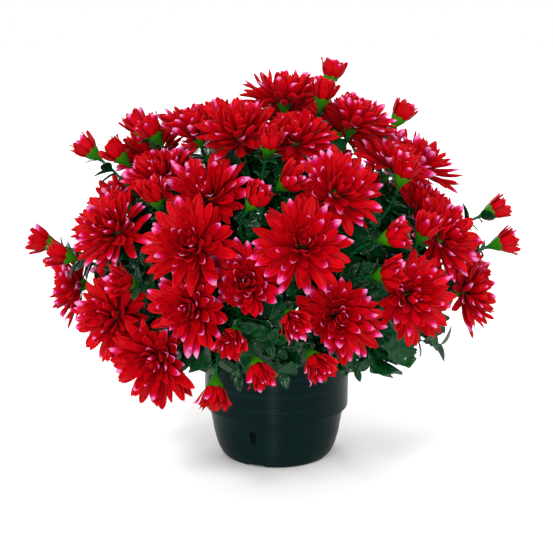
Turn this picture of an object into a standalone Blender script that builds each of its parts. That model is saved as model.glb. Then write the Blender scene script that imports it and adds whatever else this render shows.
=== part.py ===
"""A pot chrysanthemum: a plastic pot filled with soil, eleven leafy stems, and a crown of layered blooms.

Metres, +Z up. The origin is the centre of the pot's foot, on the surface it stands on.
Azimuths are in degrees from the front (-Y), positive towards +X; elevations are above the horizon.
Neighbouring blooms sit at different depths and overlap, parted by a plane that each bends its petals
clear of, and every stem with its leaves keeps to its own wedge, so that no piece crosses another.
"""

import math
import random
from collections import namedtuple
from dataclasses import dataclass

import bmesh
import bpy
import numpy as np
from mathutils import Quaternion, Vector

# Pot
POT_HEIGHT = 0.112
RIM_RADIUS = 0.0755
STEP_HEIGHT = 0.0495
FOOT_RADIUS = 0.0535
POT_SIDES = 24
POT_OUTSIDE = (
    (RIM_RADIUS, POT_HEIGHT),
    (RIM_RADIUS, 0.106),
    (0.0744, 0.105),
    (0.0737, 0.0520),
    (0.0692, STEP_HEIGHT),
    (0.0668, 0.036),
    (0.0628, 0.016),
    (0.0570, 0.004),
    (FOOT_RADIUS, 0.0),
    (0.0505, 0.0),
    (0.0495, 0.004),
    (0.0, 0.004),
)
POT_INSIDE = (
    (0.0, 0.0065),
    (0.0530, 0.0065),
    (0.0598, 0.0165),
    (0.0640, 0.036),
    (0.0664, 0.0500),
    (0.0696, 0.0535),
    (0.0728, POT_HEIGHT),
)
NOTCHES = 4
NOTCH_SIZE = (0.019, 0.02, 0.0056)
FIRST_NOTCH_AZIMUTH = -22.0
SLOT_SIZE = (0.0065, 0.004, 0.013)
SLOT_DEPTH = 0.0012
SLOT_HEIGHT = 0.034
SLOT_AZIMUTHS = (-20.5, 159.5)
DRAIN_HOLES = 5
DRAIN_RADIUS = 0.004
DRAIN_CIRCLE = 0.034
DRAIN_SIDES = 8

# Soil
SOIL_PROFILE = ((0.0, 0.0068), (0.0525, 0.0068), (0.0630, 0.036), (0.0652, 0.0505), (0.0712, 0.097), (0.0, 0.101))
HOLE_RADIUS = 0.0048
HOLE_SIDES = 6
HOLE_FLOOR = 0.066
STEM_FOOT = 0.0665

# Crown: an ellipsoid round its centre, which the flower heads sit on
CENTRE = Vector((0.0, 0.0, 0.150))
REACH = Vector((0.205, 0.178, 0.215))
FACING = Vector((0.5, 1.0, 0.75))
LEAF_SHELL = 0.80
HEAD_GAP = 0.0004
SHOOT_GAP = 0.0025
PLANE_TILTS = range(-80, 81, 10)
PLANE_STEPS = 17
FIXED_WEIGHT = 1000.0
BLOOMS = (
    (30, 86, 0.98),
    (-72, 66, 0.92), (-24, 66, 0.96), (14, 68, 0.91), (72, 68, 0.95), (120, 68, 0.90), (172, 70, 0.96),
    (-128, 70, 0.91),
    (-60, 49, 0.91), (-31, 47, 0.89), (24, 46, 0.95), (72, 52, 0.90), (97, 45, 0.96), (124, 50, 0.96),
    (156, 48, 0.90), (-172, 50, 0.96), (-140, 50, 0.90), (-104, 50, 0.96),
    (-87, 29, 0.92), (-60, 29, 0.98), (-27, 30, 0.97), (-10, 22, 0.87), (8, 31, 0.98), (64, 27, 0.95),
    (80, 36, 0.86), (114, 27, 0.90), (144, 28, 0.97), (172, 28, 0.90), (-160, 27, 0.97), (-134, 28, 0.90),
    (-112, 29, 0.97),
    (-55, 6, 0.94), (-27, 13, 0.92), (-36, -3, 0.97), (20, 11, 0.89), (41, 14, 0.98), (79, 8, 0.93),
    (104, 8, 0.97), (135, 8, 0.91), (158, 6, 0.97), (-174, 8, 0.93), (-146, 8, 0.92), (-118, 8, 0.93),
    (-88, 8, 0.97),
)
# Each bud's azimuth, elevation and share of the crown's reach, and how it leans to the right and up
BUDS = (
    (-92, 41, 1.13, 0.0, 0.0), (-84, 18, 1.12, 0.0, 0.0), (-88, 54, 1.04, 0.0, 0.0), (-80, 46, 1.02, 0.0, 0.0),
    (-73, 56, 1.00, 0.0, 0.0), (-42, 38, 1.02, 0.2, 0.8), (-4, 54, 1.06, 0.4, 0.7), (-9, 40, 1.04, 0.9, 0.6),
    (-71, 18, 1.06, 0.0, 0.0), (98, 77, 1.08, 0.0, 0.0), (44, 74, 1.02, 0.0, 0.0), (93, 58, 1.04, 0.0, 0.0),
    (47, 43, 1.04, 0.0, 1.0), (33, 30, 1.02, 1.0, 0.1), (47, 28, 1.02, 0.0, 1.0), (29, 21, 1.02, 1.0, 0.0),
    (96, 24, 1.13, 0.0, 0.0), (90, 17, 1.10, 0.0, 0.0), (-11, 8, 1.04, 0.0, -0.5), (-6, 0, 1.02, 0.5, -0.8),
    (-17, -6, 1.02, 0.2, -1.2), (3, 13, 1.04, 0.3, -0.6), (9, 2, 1.04, 0.3, -0.6), (-42, 17, 1.04, 0.0, 0.0),
    (126, 38, 1.08, 0.0, 0.0), (171, 14, 1.08, 0.0, 0.0), (1, 47, 1.00, 1.0, 0.1), (-150, 39, 1.08, 0.0, 0.0),
    (-122, 40, 1.08, 0.0, 0.0), (-133, 17, 1.06, 0.0, 0.0),
)
BLOOM_RADIUS = 0.047
BUD_RADIUS = 0.016
BLOOM_SIZES = (0.94, 1.04)
MOST_TILT = 6.0

# Stems: the outer ones stand in wedges between these azimuths, and one stands in the middle
WEDGE_EDGES = (-125, -77, -45, -19, 14, 52, 85, 131, 165, 207, 235)
TOP_ELEVATION = 57.0
CONE_MARGIN = 2.0
WEDGE_MARGIN = 0.0015
STEM_CIRCLE = 0.034
STEM_RADIUS = 0.0034
BRANCH_RADIUS = 0.0017
FORK_RADIUS = 0.074
FORK_HEIGHT = 0.190
TOP_FORK_HEIGHT = 0.245
FIRST_BRANCH = 0.25
SHOOT_LENGTH = 0.036
CALYX_RADIUS = 0.0075
BUD_SIDES = 5
BUD_FOOT_RADIUS = 0.0036
BUD_WAIST = (0.013, 0.0088)
BUD_CROWN = (0.012, 0.0102, 0.004)
SEAT_GAP = 0.0003

# A bloom's petals are raised from the faces of a small dome with this many sides
DOME_SIDES = 6
DOME_LOOPS = ((0.0, 0.0100), (24.0, 0.0110), (52.0, 0.0120))
DOME_TOP = 0.0130
Ring = namedtuple("Ring", "elevation length half_width")
RINGS = (Ring(2, 0.047, 0.0076), Ring(13, 0.046, 0.0066), Ring(30, 0.039, 0.0062), Ring(40, 0.036, 0.0044))
CENTRE_RING = Ring(66, 0.027, 0.0)
BELLY = 0.65
LIFTS = range(0, 46, 3)
LIFT_TURNS = 24
LIFT_SHARE = 0.85

# Leaves
LEAF_LENGTH = 0.058
LEAF_HALF_WIDTH = 0.021
LEAF_THICKNESS = 0.0009
LEAF_OUTLINE = ((0.30, 0.85), (0.50, 0.50), (0.68, 0.80))
LEAF_DROOP = 0.22
LEAF_FOLD = 0.25
LEAF_ROLLS = (0, 35, -35, 70, -70)
PETIOLE_HALF_WIDTH = 0.0013
LEAF_FOOT_SHARES = (0.56, 0.62)
LEAF_JOINT = 0.6
STALK_JOINTS = (0.1, 0.4, 0.7)
LEAF_LEAN = (0.45, 0.95)
LEAVES_A_STEM = 2
Low = namedtuple("Low", "turn elevation share droop")
SKIRT = (Low(-9, -12, 0.50, 0.45), Low(9, -4, 0.60, 0.20), Low(1, -12, 0.42, -0.50))
SKIRT_SCALE = 1.1
POT_CLEARANCE = 0.006
SMALL_LEAF = (0.019, 0.0052, 0.0012)
OUTSTANDING = 1.05

PETAL_RED = (0.62, 0.004, 0.012, 1.0)
LEAF_GREEN = (0.012, 0.075, 0.024, 1.0)
POT_GREEN = (0.008, 0.022, 0.020, 1.0)
SOIL_BROWN = (0.045, 0.028, 0.018, 1.0)


@dataclass(frozen=True, eq=False)
class Head:
    """A bloom or a bud: the way it lies from the crown's centre, where it sits and the way it faces."""

    kind: str
    way: Vector
    seat: Vector
    axis: Vector
    radius: float


def clear_scene():
    for obj in list(bpy.data.objects):
        bpy.data.objects.remove(obj)


def material(name, colour, roughness):
    made = bpy.data.materials.new(name)
    made.use_nodes = True
    shader = made.node_tree.nodes["Principled BSDF"]
    shader.inputs["Base Color"].default_value = colour
    shader.inputs["Roughness"].default_value = roughness
    return made


def new_collection(name, shown=True):
    made = bpy.data.collections.new(name)
    bpy.context.scene.collection.children.link(made)
    made.hide_render = not shown
    return made


def add_object(name, data, collection):
    made = bpy.data.objects.new(name, data)
    collection.objects.link(made)
    return made


def mesh_object(name, bm, collection):
    mesh = bpy.data.meshes.new(name)
    bm.to_mesh(mesh)
    bm.free()
    return add_object(name, mesh, collection)


def unit(azimuth, elevation):
    """The direction with this azimuth and elevation, in degrees."""
    a, e = math.radians(azimuth), math.radians(elevation)
    return Vector((math.sin(a) * math.cos(e), -math.cos(a) * math.cos(e), math.sin(e)))


def azimuth_of(way):
    return math.degrees(math.atan2(way.x, -way.y))


def elevation_of(way):
    return math.degrees(math.atan2(way.z, math.hypot(way.x, way.y)))


def on_crown(way, share):
    """The point of the crown in this direction, at this share of its reach."""
    scaled = Vector((way.x / REACH.x, way.y / REACH.y, way.z / REACH.z))
    return CENTRE + way * (share / scaled.length)


def share_of(point):
    offset = point - CENTRE
    return Vector((offset.x / REACH.x, offset.y / REACH.y, offset.z / REACH.z)).length


def frame_of(axis):
    """Two directions square to the axis and to each other."""
    side = axis.cross(Vector((0, 0, 1)))
    side = side.normalized() if side.length > 0.05 else Vector((1, 0, 0))
    return side, axis.cross(side).normalized()


def tilted(way, draw):
    side, up = frame_of(way)
    turn = draw.uniform(0, 2 * math.pi)
    slope = math.tan(math.radians(draw.uniform(0, MOST_TILT)))
    return (way + (side * math.cos(turn) + up * math.sin(turn)) * slope).normalized()


def flower_heads():
    draw = random.Random(11)
    heads = []
    for azimuth, elevation, share in BLOOMS:
        way = unit(azimuth, elevation)
        axis = tilted((way * FACING).normalized(), draw)
        radius = BLOOM_RADIUS * draw.uniform(*BLOOM_SIZES)
        heads.append(Head("bloom", way, on_crown(way, share), axis, radius))
    for azimuth, elevation, share, right, up in BUDS:
        way = unit(azimuth, elevation)
        axis = (way + Vector((right, 0, up))).normalized()
        heads.append(Head("bud", way, on_crown(way, share), axis, BUD_RADIUS))
    return heads


def knee_of(head):
    """Where the shoot under a head turns to face the same way as the head."""
    return head.seat - head.axis * SHOOT_LENGTH


def outline_points(head):
    """Points of a head and, for each, how much it counts where a plane cuts it off: petals can bend."""
    side, up = frame_of(head.axis)
    if head.kind == "bloom":
        size = head.radius / BLOOM_RADIUS
        rows = [(DOME_LOOPS[0][1], 0.0, FIXED_WEIGHT), (0.004, DOME_TOP, FIXED_WEIGHT)]
        for ring in (*RINGS, CENTRE_RING):
            slope = math.radians(ring.elevation)
            rows.append((ring.length * math.cos(slope), ring.length * math.sin(slope), 1.0))
    else:
        size = 1.0
        rows = [(BRANCH_RADIUS, -SHOOT_LENGTH), (BUD_FOOT_RADIUS, 0.0), (BUD_WAIST[1], BUD_WAIST[0])]
        rows = [(*row, FIXED_WEIGHT) for row in rows + [(BUD_CROWN[1], BUD_WAIST[0] + BUD_CROWN[0])]]
    points, weights = [], []
    for across, along, weight in rows:
        for k in range(12):
            turn = math.radians(30 * k)
            out = side * math.cos(turn) + up * math.sin(turn)
            points.append(head.seat + (out * across + head.axis * along) * size)
            weights.append(weight)
    return np.array(points), np.array(weights)


def parting_plane(a, b, outlines):
    """The plane between two heads that bends their petals least: its normal, from a to b, and its offset."""
    radial = (a.way + b.way).normalized()
    across = b.seat - a.seat
    across = (across - radial * across.dot(radial)).normalized()
    best = None
    for tilt in PLANE_TILTS:
        slope = math.radians(tilt)
        normal = across * math.cos(slope) + radial * math.sin(slope)
        (first, first_weights), (second, second_weights) = outlines[a], outlines[b]
        near, far = first @ np.array(normal), second @ np.array(normal)
        for offset in np.linspace(a.seat.dot(normal), b.seat.dot(normal), PLANE_STEPS):
            cost = (first_weights * np.clip(near + HEAD_GAP - offset, 0, None)).sum()
            cost += (second_weights * np.clip(offset + HEAD_GAP - far, 0, None)).sum()
            if best is None or cost < best[0]:
                best = (cost, normal, offset)
    return best[1:]


def bounds_round(heads):
    """For each head, the planes it keeps behind and the other heads' shoots it keeps clear of."""
    outlines = {head: outline_points(head) for head in heads}
    bounds = {head: ([], []) for head in heads}
    for k, a in enumerate(heads):
        for b in heads[k + 1:]:
            apart = (a.seat - b.seat).length
            if apart > a.radius + b.radius + BUD_RADIUS:
                continue
            normal, offset = parting_plane(a, b, outlines)
            bounds[a][0].append((normal, offset))
            bounds[b][0].append((-normal, -offset))
            bounds[a][1].append(b)
            bounds[b][1].append(a)
    return bounds


def is_clear(point, bound):
    """Whether a point is behind a head's planes and clear of its neighbours' shoots."""
    planes, neighbours = bound
    if any(normal.dot(point) > offset - HEAD_GAP for normal, offset in planes):
        return False
    for other in neighbours:
        offset = point - other.seat
        down = -offset.dot(other.axis)
        aside = (offset + other.axis * down).length
        widest = CALYX_RADIUS * max(0.0, 1.0 - down / SHOOT_LENGTH)
        if down > 0 and aside < widest + SHOOT_GAP:
            return False
    return True


def excess(point, bound):
    """How far a point is past a head's planes, in tenths of a millimetre."""
    return round(sum(max(0.0, normal.dot(point) - offset) for normal, offset in bound[0]) * 10000)


def petal_spot(head, turn, elevation, distance):
    side, up = frame_of(head.axis)
    slope = math.radians(elevation)
    outward = side * math.cos(turn) + up * math.sin(turn)
    return head.seat + (outward * math.cos(slope) + head.axis * math.sin(slope)) * distance


def lifts_round(head, bound):
    """How far a bloom's lowest petals lift, all the way round, to clear its neighbours."""
    reach = head.radius * LIFT_SHARE
    lifts = []
    for k in range(LIFT_TURNS):
        turn = 2 * math.pi * k / LIFT_TURNS
        lifts.append(min(LIFTS, key=lambda angle: (excess(petal_spot(head, turn, angle, reach), bound), angle)))
    for _ in range(2):
        lifts = [(lifts[k - 1] + 2 * lifts[k] + lifts[(k + 1) % LIFT_TURNS]) / 4 for k in range(LIFT_TURNS)]
    return lifts


def petal_point(head, bound, lifts, turn, elevation, distance):
    """A point of a bloom, lifted towards its axis, and then drawn in, where it would run into a neighbour."""
    place = turn / (2 * math.pi) * LIFT_TURNS % LIFT_TURNS
    before, share = int(place), place % 1.0
    lowest = lifts[before] * (1 - share) + lifts[(before + 1) % LIFT_TURNS] * share
    angle = lowest + elevation * (90.0 - lowest) / 90.0
    while distance > 0.004 and not is_clear(petal_spot(head, turn, angle, distance), bound):
        distance *= 0.95
    return petal_spot(head, turn, angle, distance)


def raise_petal(bm, corners, apex, belly, tip):
    """A petal on a triangle of the dome: corners are its flat edge, belly its widest two points."""
    left, right = corners
    near, far = belly
    bm.faces.new((left, right, far))
    bm.faces.new((left, far, near))
    bm.faces.new((near, far, tip))
    bm.faces.new((apex, near, tip))
    bm.faces.new((apex, tip, far))
    bm.faces.new((left, near, apex))
    bm.faces.new((right, apex, far))


def build_bloom(name, head, bound, collection):
    lifts = lifts_round(head, bound)
    size = head.radius / BLOOM_RADIUS
    step = 2 * math.pi / DOME_SIDES
    bm = bmesh.new()

    def vertex(turn, elevation, distance):
        return bm.verts.new(petal_point(head, bound, lifts, turn, elevation, distance * size))

    side, up = frame_of(head.axis)
    loops = []
    for row, (elevation, radius) in enumerate(DOME_LOOPS):
        turns = [(k + 0.5 * row) * step for k in range(DOME_SIDES)]
        if row == 0:
            outward = [side * math.cos(t) + up * math.sin(t) for t in turns]
            loops.append([bm.verts.new(head.seat + way * radius * size) for way in outward])
        else:
            loops.append([vertex(t, elevation, radius) for t in turns])
    top = bm.verts.new(head.seat + head.axis * DOME_TOP * size)

    def petal(corners, apex, ring, turn, upright):
        spread = ring.half_width / (ring.length * BELLY * math.cos(math.radians(ring.elevation)))
        belly = [vertex(turn + s * spread, ring.elevation, ring.length * BELLY) for s in (-1, 1)]
        tip = vertex(turn, ring.elevation + 1.0, ring.length)
        if upright:
            raise_petal(bm, corners, apex, belly, tip)
        else:
            raise_petal(bm, corners[::-1], apex, belly[::-1], tip)

    for band in (0, 1):
        lower, upper = loops[band], loops[band + 1]
        for k in range(DOME_SIDES):
            after = (k + 1) % DOME_SIDES
            turn = (k + 0.5 + 0.5 * band) * step
            petal((lower[k], lower[after]), upper[k], RINGS[2 * band], turn, True)
            petal((upper[k], upper[after]), lower[after], RINGS[2 * band + 1], turn + 0.5 * step, False)
    rim = loops[-1]
    for k in range(DOME_SIDES):
        after = (k + 1) % DOME_SIDES
        tip = vertex((k + 1.5) * step, CENTRE_RING.elevation, CENTRE_RING.length)
        for corners in ((rim[k], rim[after]), (rim[after], top), (top, rim[k])):
            bm.faces.new((*corners, tip))
    bm.faces.new(loops[0][::-1])
    bmesh.ops.triangulate(bm, faces=bm.faces[:])
    bmesh.ops.recalc_face_normals(bm, faces=bm.faces[:])
    return mesh_object(name, bm, collection)


def loft(name, points, radii, sides, collection, crown=None):
    """A shoot through the points, with flat ends or, at the top, the crown's ring of petal tips round a hollow."""
    bm = bmesh.new()
    way = (points[1] - points[0]).normalized()
    side = frame_of(way)[0]

    def ring(centre, radius, shift=0.0):
        up = way.cross(side)
        turns = [(k + shift) * 2 * math.pi / sides for k in range(sides)]
        return [bm.verts.new(centre + (side * math.cos(t) + up * math.sin(t)) * radius) for t in turns]

    rings = []
    for k, (point, radius) in enumerate(zip(points, radii)):
        if k:
            way = (point - points[k - 1]).normalized()
            side = (side - way * side.dot(way)).normalized()
        rings.append(ring(point, radius))
    bm.faces.new(rings[0][::-1])
    for lower, upper in zip(rings, rings[1:]):
        for k in range(sides):
            after = (k + 1) % sides
            bm.faces.new((lower[k], lower[after], upper[after], upper[k]))
    rim = rings[-1]
    if crown:
        height, radius, depth = crown
        tips = ring(points[-1] + way * height, radius, 0.5)
        hollow = bm.verts.new(points[-1] + way * depth)
        for k in range(sides):
            after = (k + 1) % sides
            for corners in ((rim[k], rim[after]), (rim[after], hollow), (hollow, rim[k])):
                bm.faces.new((*corners, tips[k]))
    else:
        bm.faces.new(rim)
    bmesh.ops.triangulate(bm, faces=bm.faces[:])
    bmesh.ops.recalc_face_normals(bm, faces=bm.faces[:])
    return mesh_object(name, bm, collection)


Stem = namedtuple("Stem", "azimuth walls base fork is_top")


def leafy_stems():
    stems = []
    for low, high in zip(WEDGE_EDGES, WEDGE_EDGES[1:]):
        middle = (low + high) / 2
        out = unit(middle, 0)
        walls = (-unit(low + 90, 0), unit(high + 90, 0))
        fork = out * FORK_RADIUS + Vector((0, 0, FORK_HEIGHT))
        stems.append(Stem(middle, walls, out * STEM_CIRCLE, fork, False))
    stems.append(Stem(0, (), Vector((0, 0, 0)), Vector((0, 0, TOP_FORK_HEIGHT)), True))
    return stems


def carries(stem, way):
    """Whether a head or leaf in this direction grows from this stem."""
    is_high = elevation_of(way) > TOP_ELEVATION
    return is_high == stem.is_top and all(wall.dot(way) < 0 for wall in stem.walls)


def is_free(stem, point):
    """Whether a point of a leaf is clear of the other stems' wedges and of the pot."""
    flat = math.hypot(point.x, point.y)
    slope = math.degrees(math.atan2(point.z - CENTRE.z, flat))
    if stem.is_top:
        return slope > TOP_ELEVATION + CONE_MARGIN
    over_pot = flat < RIM_RADIUS + POT_CLEARANCE and point.z < POT_HEIGHT + POT_CLEARANCE
    inside = all(wall.dot(point) < -WEDGE_MARGIN for wall in stem.walls)
    return inside and slope < TOP_ELEVATION - CONE_MARGIN and not over_pot


def under_blooms(point):
    """The point, drawn in to the leaf layer below the blooms."""
    return CENTRE + (point - CENTRE) * min(1.0, LEAF_SHELL / share_of(point))


def branch(start, head, collection):
    """A side shoot that ends in the green cup under a bloom, or in a bud with five petal tips."""
    knee = knee_of(head)
    if head.kind == "bloom":
        seat = head.seat - head.axis * SEAT_GAP
        loft("branch", (start, knee, seat), (BRANCH_RADIUS, BRANCH_RADIUS, CALYX_RADIUS), 4, collection)
        return
    waist = head.seat + head.axis * BUD_WAIST[0]
    radii = (BRANCH_RADIUS, BRANCH_RADIUS, BUD_FOOT_RADIUS, BUD_WAIST[1])
    loft("branch", (start, knee, head.seat, waist), radii, BUD_SIDES, collection, BUD_CROWN)


def small_leaf(foot, along, across, collection):
    """An oval leaf with a ridge, as a flattened spindle."""
    length, half_width, half_thickness = SMALL_LEAF
    normal = along.cross(across).normalized()
    middle = foot + along * length * 0.5
    bm = bmesh.new()
    ends = [bm.verts.new(foot), bm.verts.new(foot + along * length)]
    rim = [bm.verts.new(middle + across * half_width * wide + normal * half_thickness * thick)
           for wide, thick in ((-1, 0), (0, -1), (1, 0), (0, 1))]
    for first, second in zip(rim, rim[1:] + rim[:1]):
        for end in ends:
            bm.faces.new((first, second, end))
    bmesh.ops.recalc_face_normals(bm, faces=bm.faces[:])
    return mesh_object("small_leaf", bm, collection)


def bud_leaf(head, bound, collection):
    """An oval leaf on the shoot under a bud, drawn up to it where a bloom is near."""
    out, across = frame_of(head.axis)
    foot = head.seat - head.axis * 0.006
    lean = 0.6
    while lean > 0 and not is_clear(foot + (head.axis + out * lean) * SMALL_LEAF[0], bound):
        lean -= 0.1
    small_leaf(foot, (head.axis + out * lean).normalized(), across, collection)


def leaf_ways(stem, heads):
    """The emptiest directions of a stem's part of the crown, one after the other."""
    rows = range(62, 85, 5) if stem.is_top else range(4, 51, 5)
    turns = range(-180, 180, 12) if stem.is_top else range(-24, 25, 4)
    grid = [unit(stem.azimuth + turn, row) for turn in turns for row in rows]
    grid = [way for way in grid if carries(stem, way) and is_free(stem, on_crown(way, LEAF_FOOT_SHARES[0]))]
    taken = [head.way for head in heads]
    for _ in range(LEAVES_A_STEM + stem.is_top):
        taken.append(max(grid, key=lambda way: min(way.angle(other) for other in taken)))
    return taken[len(heads):]


def leaf_spots(stem, foot, along, across, length, half):
    """The corners of a lobed, arched leaf: its neck, middle, tip and two edges, kept in its stem's wedge."""
    normal = across.cross(along)

    def spot(s, w):
        rise = LEAF_FOLD * abs(w) * half - LEAF_DROOP * s * s * length
        return under_blooms(foot + along * s * length + across * w * half + normal * rise)

    while length > 0.02 and not (is_free(stem, spot(1.0, 0.0)) and is_free(stem, spot(0.5, 0.0))):
        length *= 0.9

    def side_spot(s, w):
        while abs(w) > 0.02 and not is_free(stem, spot(s, w)):
            w *= 0.85
        return spot(s, w)

    neck = [side_spot(0.0, PETIOLE_HALF_WIDTH / half * sign) for sign in (-1, 1)]
    edges = [[side_spot(s, w * sign) for s, w in LEAF_OUTLINE] for sign in (-1, 1)]
    return neck, spot(0.5, 0.0), spot(1.0, 0.0), edges


def leaf_width(spots):
    """The width of a leaf's narrower half."""
    neck, heart, tip, edges = spots
    return min(max((corner - heart).length for corner in edge) for edge in edges)


def leaf(stem, foot, along, facing, joint, scale, draw, collection):
    """A lobed leaf with its stalk, as one blade, rolled whichever way gives it the most room."""
    across = along.cross(facing).normalized()
    length = LEAF_LENGTH * draw.uniform(0.85, 1.1) * scale
    half = LEAF_HALF_WIDTH * draw.uniform(0.85, 1.1) * scale
    tries = [across.copy() for _ in LEAF_ROLLS]
    for way, roll in zip(tries, LEAF_ROLLS):
        way.rotate(Quaternion(along, math.radians(roll)))
    fitted = [leaf_spots(stem, foot, along, way, length, half) for way in tries]
    neck, heart, tip, edges = max(fitted, key=leaf_width)
    bm = bmesh.new()
    root, heart, tip = (bm.verts.new(corner) for corner in (joint, heart, tip))
    neck = [bm.verts.new(corner) for corner in neck]
    bm.faces.new((root, neck[1], neck[0]))
    bm.faces.new((neck[0], neck[1], heart))
    for sign, start, edge in zip((-1, 1), neck, edges):
        rim = [start, *(bm.verts.new(corner) for corner in edge), tip]
        for first, second in zip(rim, rim[1:]):
            bm.faces.new((heart, first, second)[::sign])
    bmesh.ops.recalc_face_normals(bm, faces=bm.faces[:])
    made = mesh_object("leaf", bm, collection)
    shell = made.modifiers.new("thickness", "SOLIDIFY")
    shell.thickness = LEAF_THICKNESS
    shell.offset = 0.0
    return made


def joint_behind(foot, heading, joints):
    """The nearest place on the stem that a leaf with its foot here can grow from."""
    behind = [joint for joint in joints if (joint - foot).dot(heading) < 0]
    return min(behind, key=lambda joint: (joint - foot).length)


def stem_leaves(stem, heads, joints, draw, collection):
    """The leaves between a stem's blooms, and the low ones that hang round the pot's rim."""
    for way in leaf_ways(stem, heads):
        foot = on_crown(way, draw.uniform(*LEAF_FOOT_SHARES))
        joint = joint_behind(foot, way, joints)
        away = foot - joint
        away = (away - way * away.dot(way)).normalized()
        along = (way + away * draw.uniform(*LEAF_LEAN)).normalized()
        leaf(stem, foot, along, way, joint, 1.0, draw, collection)
    if stem.is_top:
        return
    for low in SKIRT:
        foot = on_crown(unit(stem.azimuth + low.turn, low.elevation), low.share)
        along = (unit(stem.azimuth + low.turn * 1.5, 0) - Vector((0, 0, low.droop))).normalized()
        joint = joint_behind(foot, along, joints)
        leaf(stem, foot, along, Vector((0, 0, 1)), joint, SKIRT_SCALE, draw, collection)


def build_stem(name, stem, heads, bounds, collection):
    """One leafy stem: the standing shoot, its branches, buds and leaves, joined in one body."""
    loose = new_collection(name + "_pieces", shown=False)
    draw = random.Random(name)
    carried = sorted((head for head in heads if carries(stem, head.way)), key=lambda head: head.way.z)
    foot = stem.base + Vector((0, 0, STEM_FOOT))
    rise = stem.base + Vector((0, 0, POT_HEIGHT))
    top = stem.fork + (stem.fork - rise) * 0.03
    stalk = loft(name, (foot, rise, top), (STEM_RADIUS, STEM_RADIUS, BRANCH_RADIUS), 4, collection)
    joints = [rise.lerp(stem.fork, share) for share in STALK_JOINTS]
    for k, head in enumerate(carried):
        start = rise.lerp(stem.fork, FIRST_BRANCH + (1 - FIRST_BRANCH) * k / (len(carried) - 1))
        branch(start, head, loose)
        joints.append(start.lerp(knee_of(head), LEAF_JOINT))
        if share_of(head.seat) > OUTSTANDING:
            planes, neighbours = bounds[head]
            bud_leaf(head, ([*planes, *((wall, 0.0) for wall in stem.walls)], neighbours), loose)
    stem_leaves(stem, heads, joints, draw, loose)
    return fuse(stalk, loose)


def biggest_shell(bm):
    """Removes all but the biggest connected shell: loose scrap, and the lining of a sealed hollow."""
    left, shells = set(bm.verts), []
    while left:
        reached = [left.pop()]
        for vert in reached:
            ends = {edge.other_vert(vert) for edge in vert.link_edges} & left
            left -= ends
            reached.extend(ends)
        shells.append(reached)
    shells.sort(key=len)
    scrap = [vert for shell in shells[:-1] for vert in shell]
    bmesh.ops.delete(bm, geom=scrap, context="VERTS")


def fuse(body, loose):
    """Joins the loose pieces to the body with one union and removes them."""
    join = body.modifiers.new("join", "BOOLEAN")
    join.operation = "UNION"
    join.operand_type = "COLLECTION"
    join.collection = loose
    join.solver = "MANIFOLD"
    graph = bpy.context.evaluated_depsgraph_get()
    bm = bmesh.new()
    bm.from_object(body, graph)
    biggest_shell(bm)
    body.modifiers.clear()
    bm.to_mesh(body.data)
    bm.free()
    for obj in list(loose.objects):
        bpy.data.objects.remove(obj)
    bpy.data.collections.remove(loose)
    return body


def turned(name, profile, collection):
    """A solid turned from a profile that starts and ends on the axis."""
    bm = bmesh.new()
    points = [bm.verts.new((radius, 0.0, height)) for radius, height in profile]
    for first, second in zip(points, points[1:]):
        bm.edges.new((first, second))
    made = mesh_object(name, bm, collection)
    turn = made.modifiers.new("turn", "SCREW")
    turn.axis = "Z"
    turn.steps = turn.render_steps = POT_SIDES
    turn.use_merge_vertices = True
    turn.merge_threshold = 0.00001
    return made


def box_cutter(name, size, centre, azimuth, cutters):
    bm = bmesh.new()
    bmesh.ops.create_cube(bm, size=1.0)
    bmesh.ops.scale(bm, verts=bm.verts[:], vec=size)
    made = mesh_object(name, bm, cutters)
    made.location = centre
    made.rotation_euler = (0, 0, math.radians(azimuth))
    return made


def rod_cutter(name, radius, sides, low, high, place, cutters):
    bm = bmesh.new()
    bmesh.ops.create_cone(bm, segments=sides, radius1=radius, radius2=radius, depth=high - low, cap_ends=True)
    made = mesh_object(name, bm, cutters)
    made.location = (place.x, place.y, (low + high) / 2)
    return made


def cut(obj, cutter):
    cutter.hide_render = True
    cutter.display_type = "WIRE"
    made = obj.modifiers.new("cut_" + cutter.name, "BOOLEAN")
    made.operation = "DIFFERENCE"
    made.object = cutter


def pot_wall_radius(height):
    """The pot's outer radius at this height, below the step."""
    for (high_r, high_z), (low_r, low_z) in zip(POT_OUTSIDE, POT_OUTSIDE[1:]):
        if low_z <= height <= high_z:
            return low_r + (high_r - low_r) * (height - low_z) / (high_z - low_z)
    return FOOT_RADIUS


def build_pot(collection, cutters):
    pot = turned("pot", POT_INSIDE + POT_OUTSIDE, collection)
    for k in range(NOTCHES):
        azimuth = FIRST_NOTCH_AZIMUTH + 360 / NOTCHES * k
        place = unit(azimuth, 0) * FOOT_RADIUS
        cut(pot, box_cutter(f"notch_{k}", NOTCH_SIZE, place, azimuth, cutters))
    for k, azimuth in enumerate(SLOT_AZIMUTHS):
        depth = pot_wall_radius(SLOT_HEIGHT) * math.cos(math.pi / POT_SIDES) - SLOT_DEPTH + SLOT_SIZE[1] / 2
        place = unit(azimuth, 0) * depth + Vector((0, 0, SLOT_HEIGHT))
        cut(pot, box_cutter(f"slot_{k}", SLOT_SIZE, place, azimuth, cutters))
    for k in range(DRAIN_HOLES):
        place = unit(360 / DRAIN_HOLES * (k + 0.5), 0) * DRAIN_CIRCLE
        cut(pot, rod_cutter(f"drain_{k}", DRAIN_RADIUS, DRAIN_SIDES, 0.002, 0.009, place, cutters))
    return pot


def build_soil(stems, collection, cutters):
    soil = turned("soil", SOIL_PROFILE[::-1], collection)
    soil.modifiers["turn"].use_normal_flip = True
    for k, stem in enumerate(stems):
        cut(soil, rod_cutter(f"hole_{k}", HOLE_RADIUS, HOLE_SIDES, HOLE_FLOOR, 0.12, stem.base, cutters))
    return soil


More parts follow.
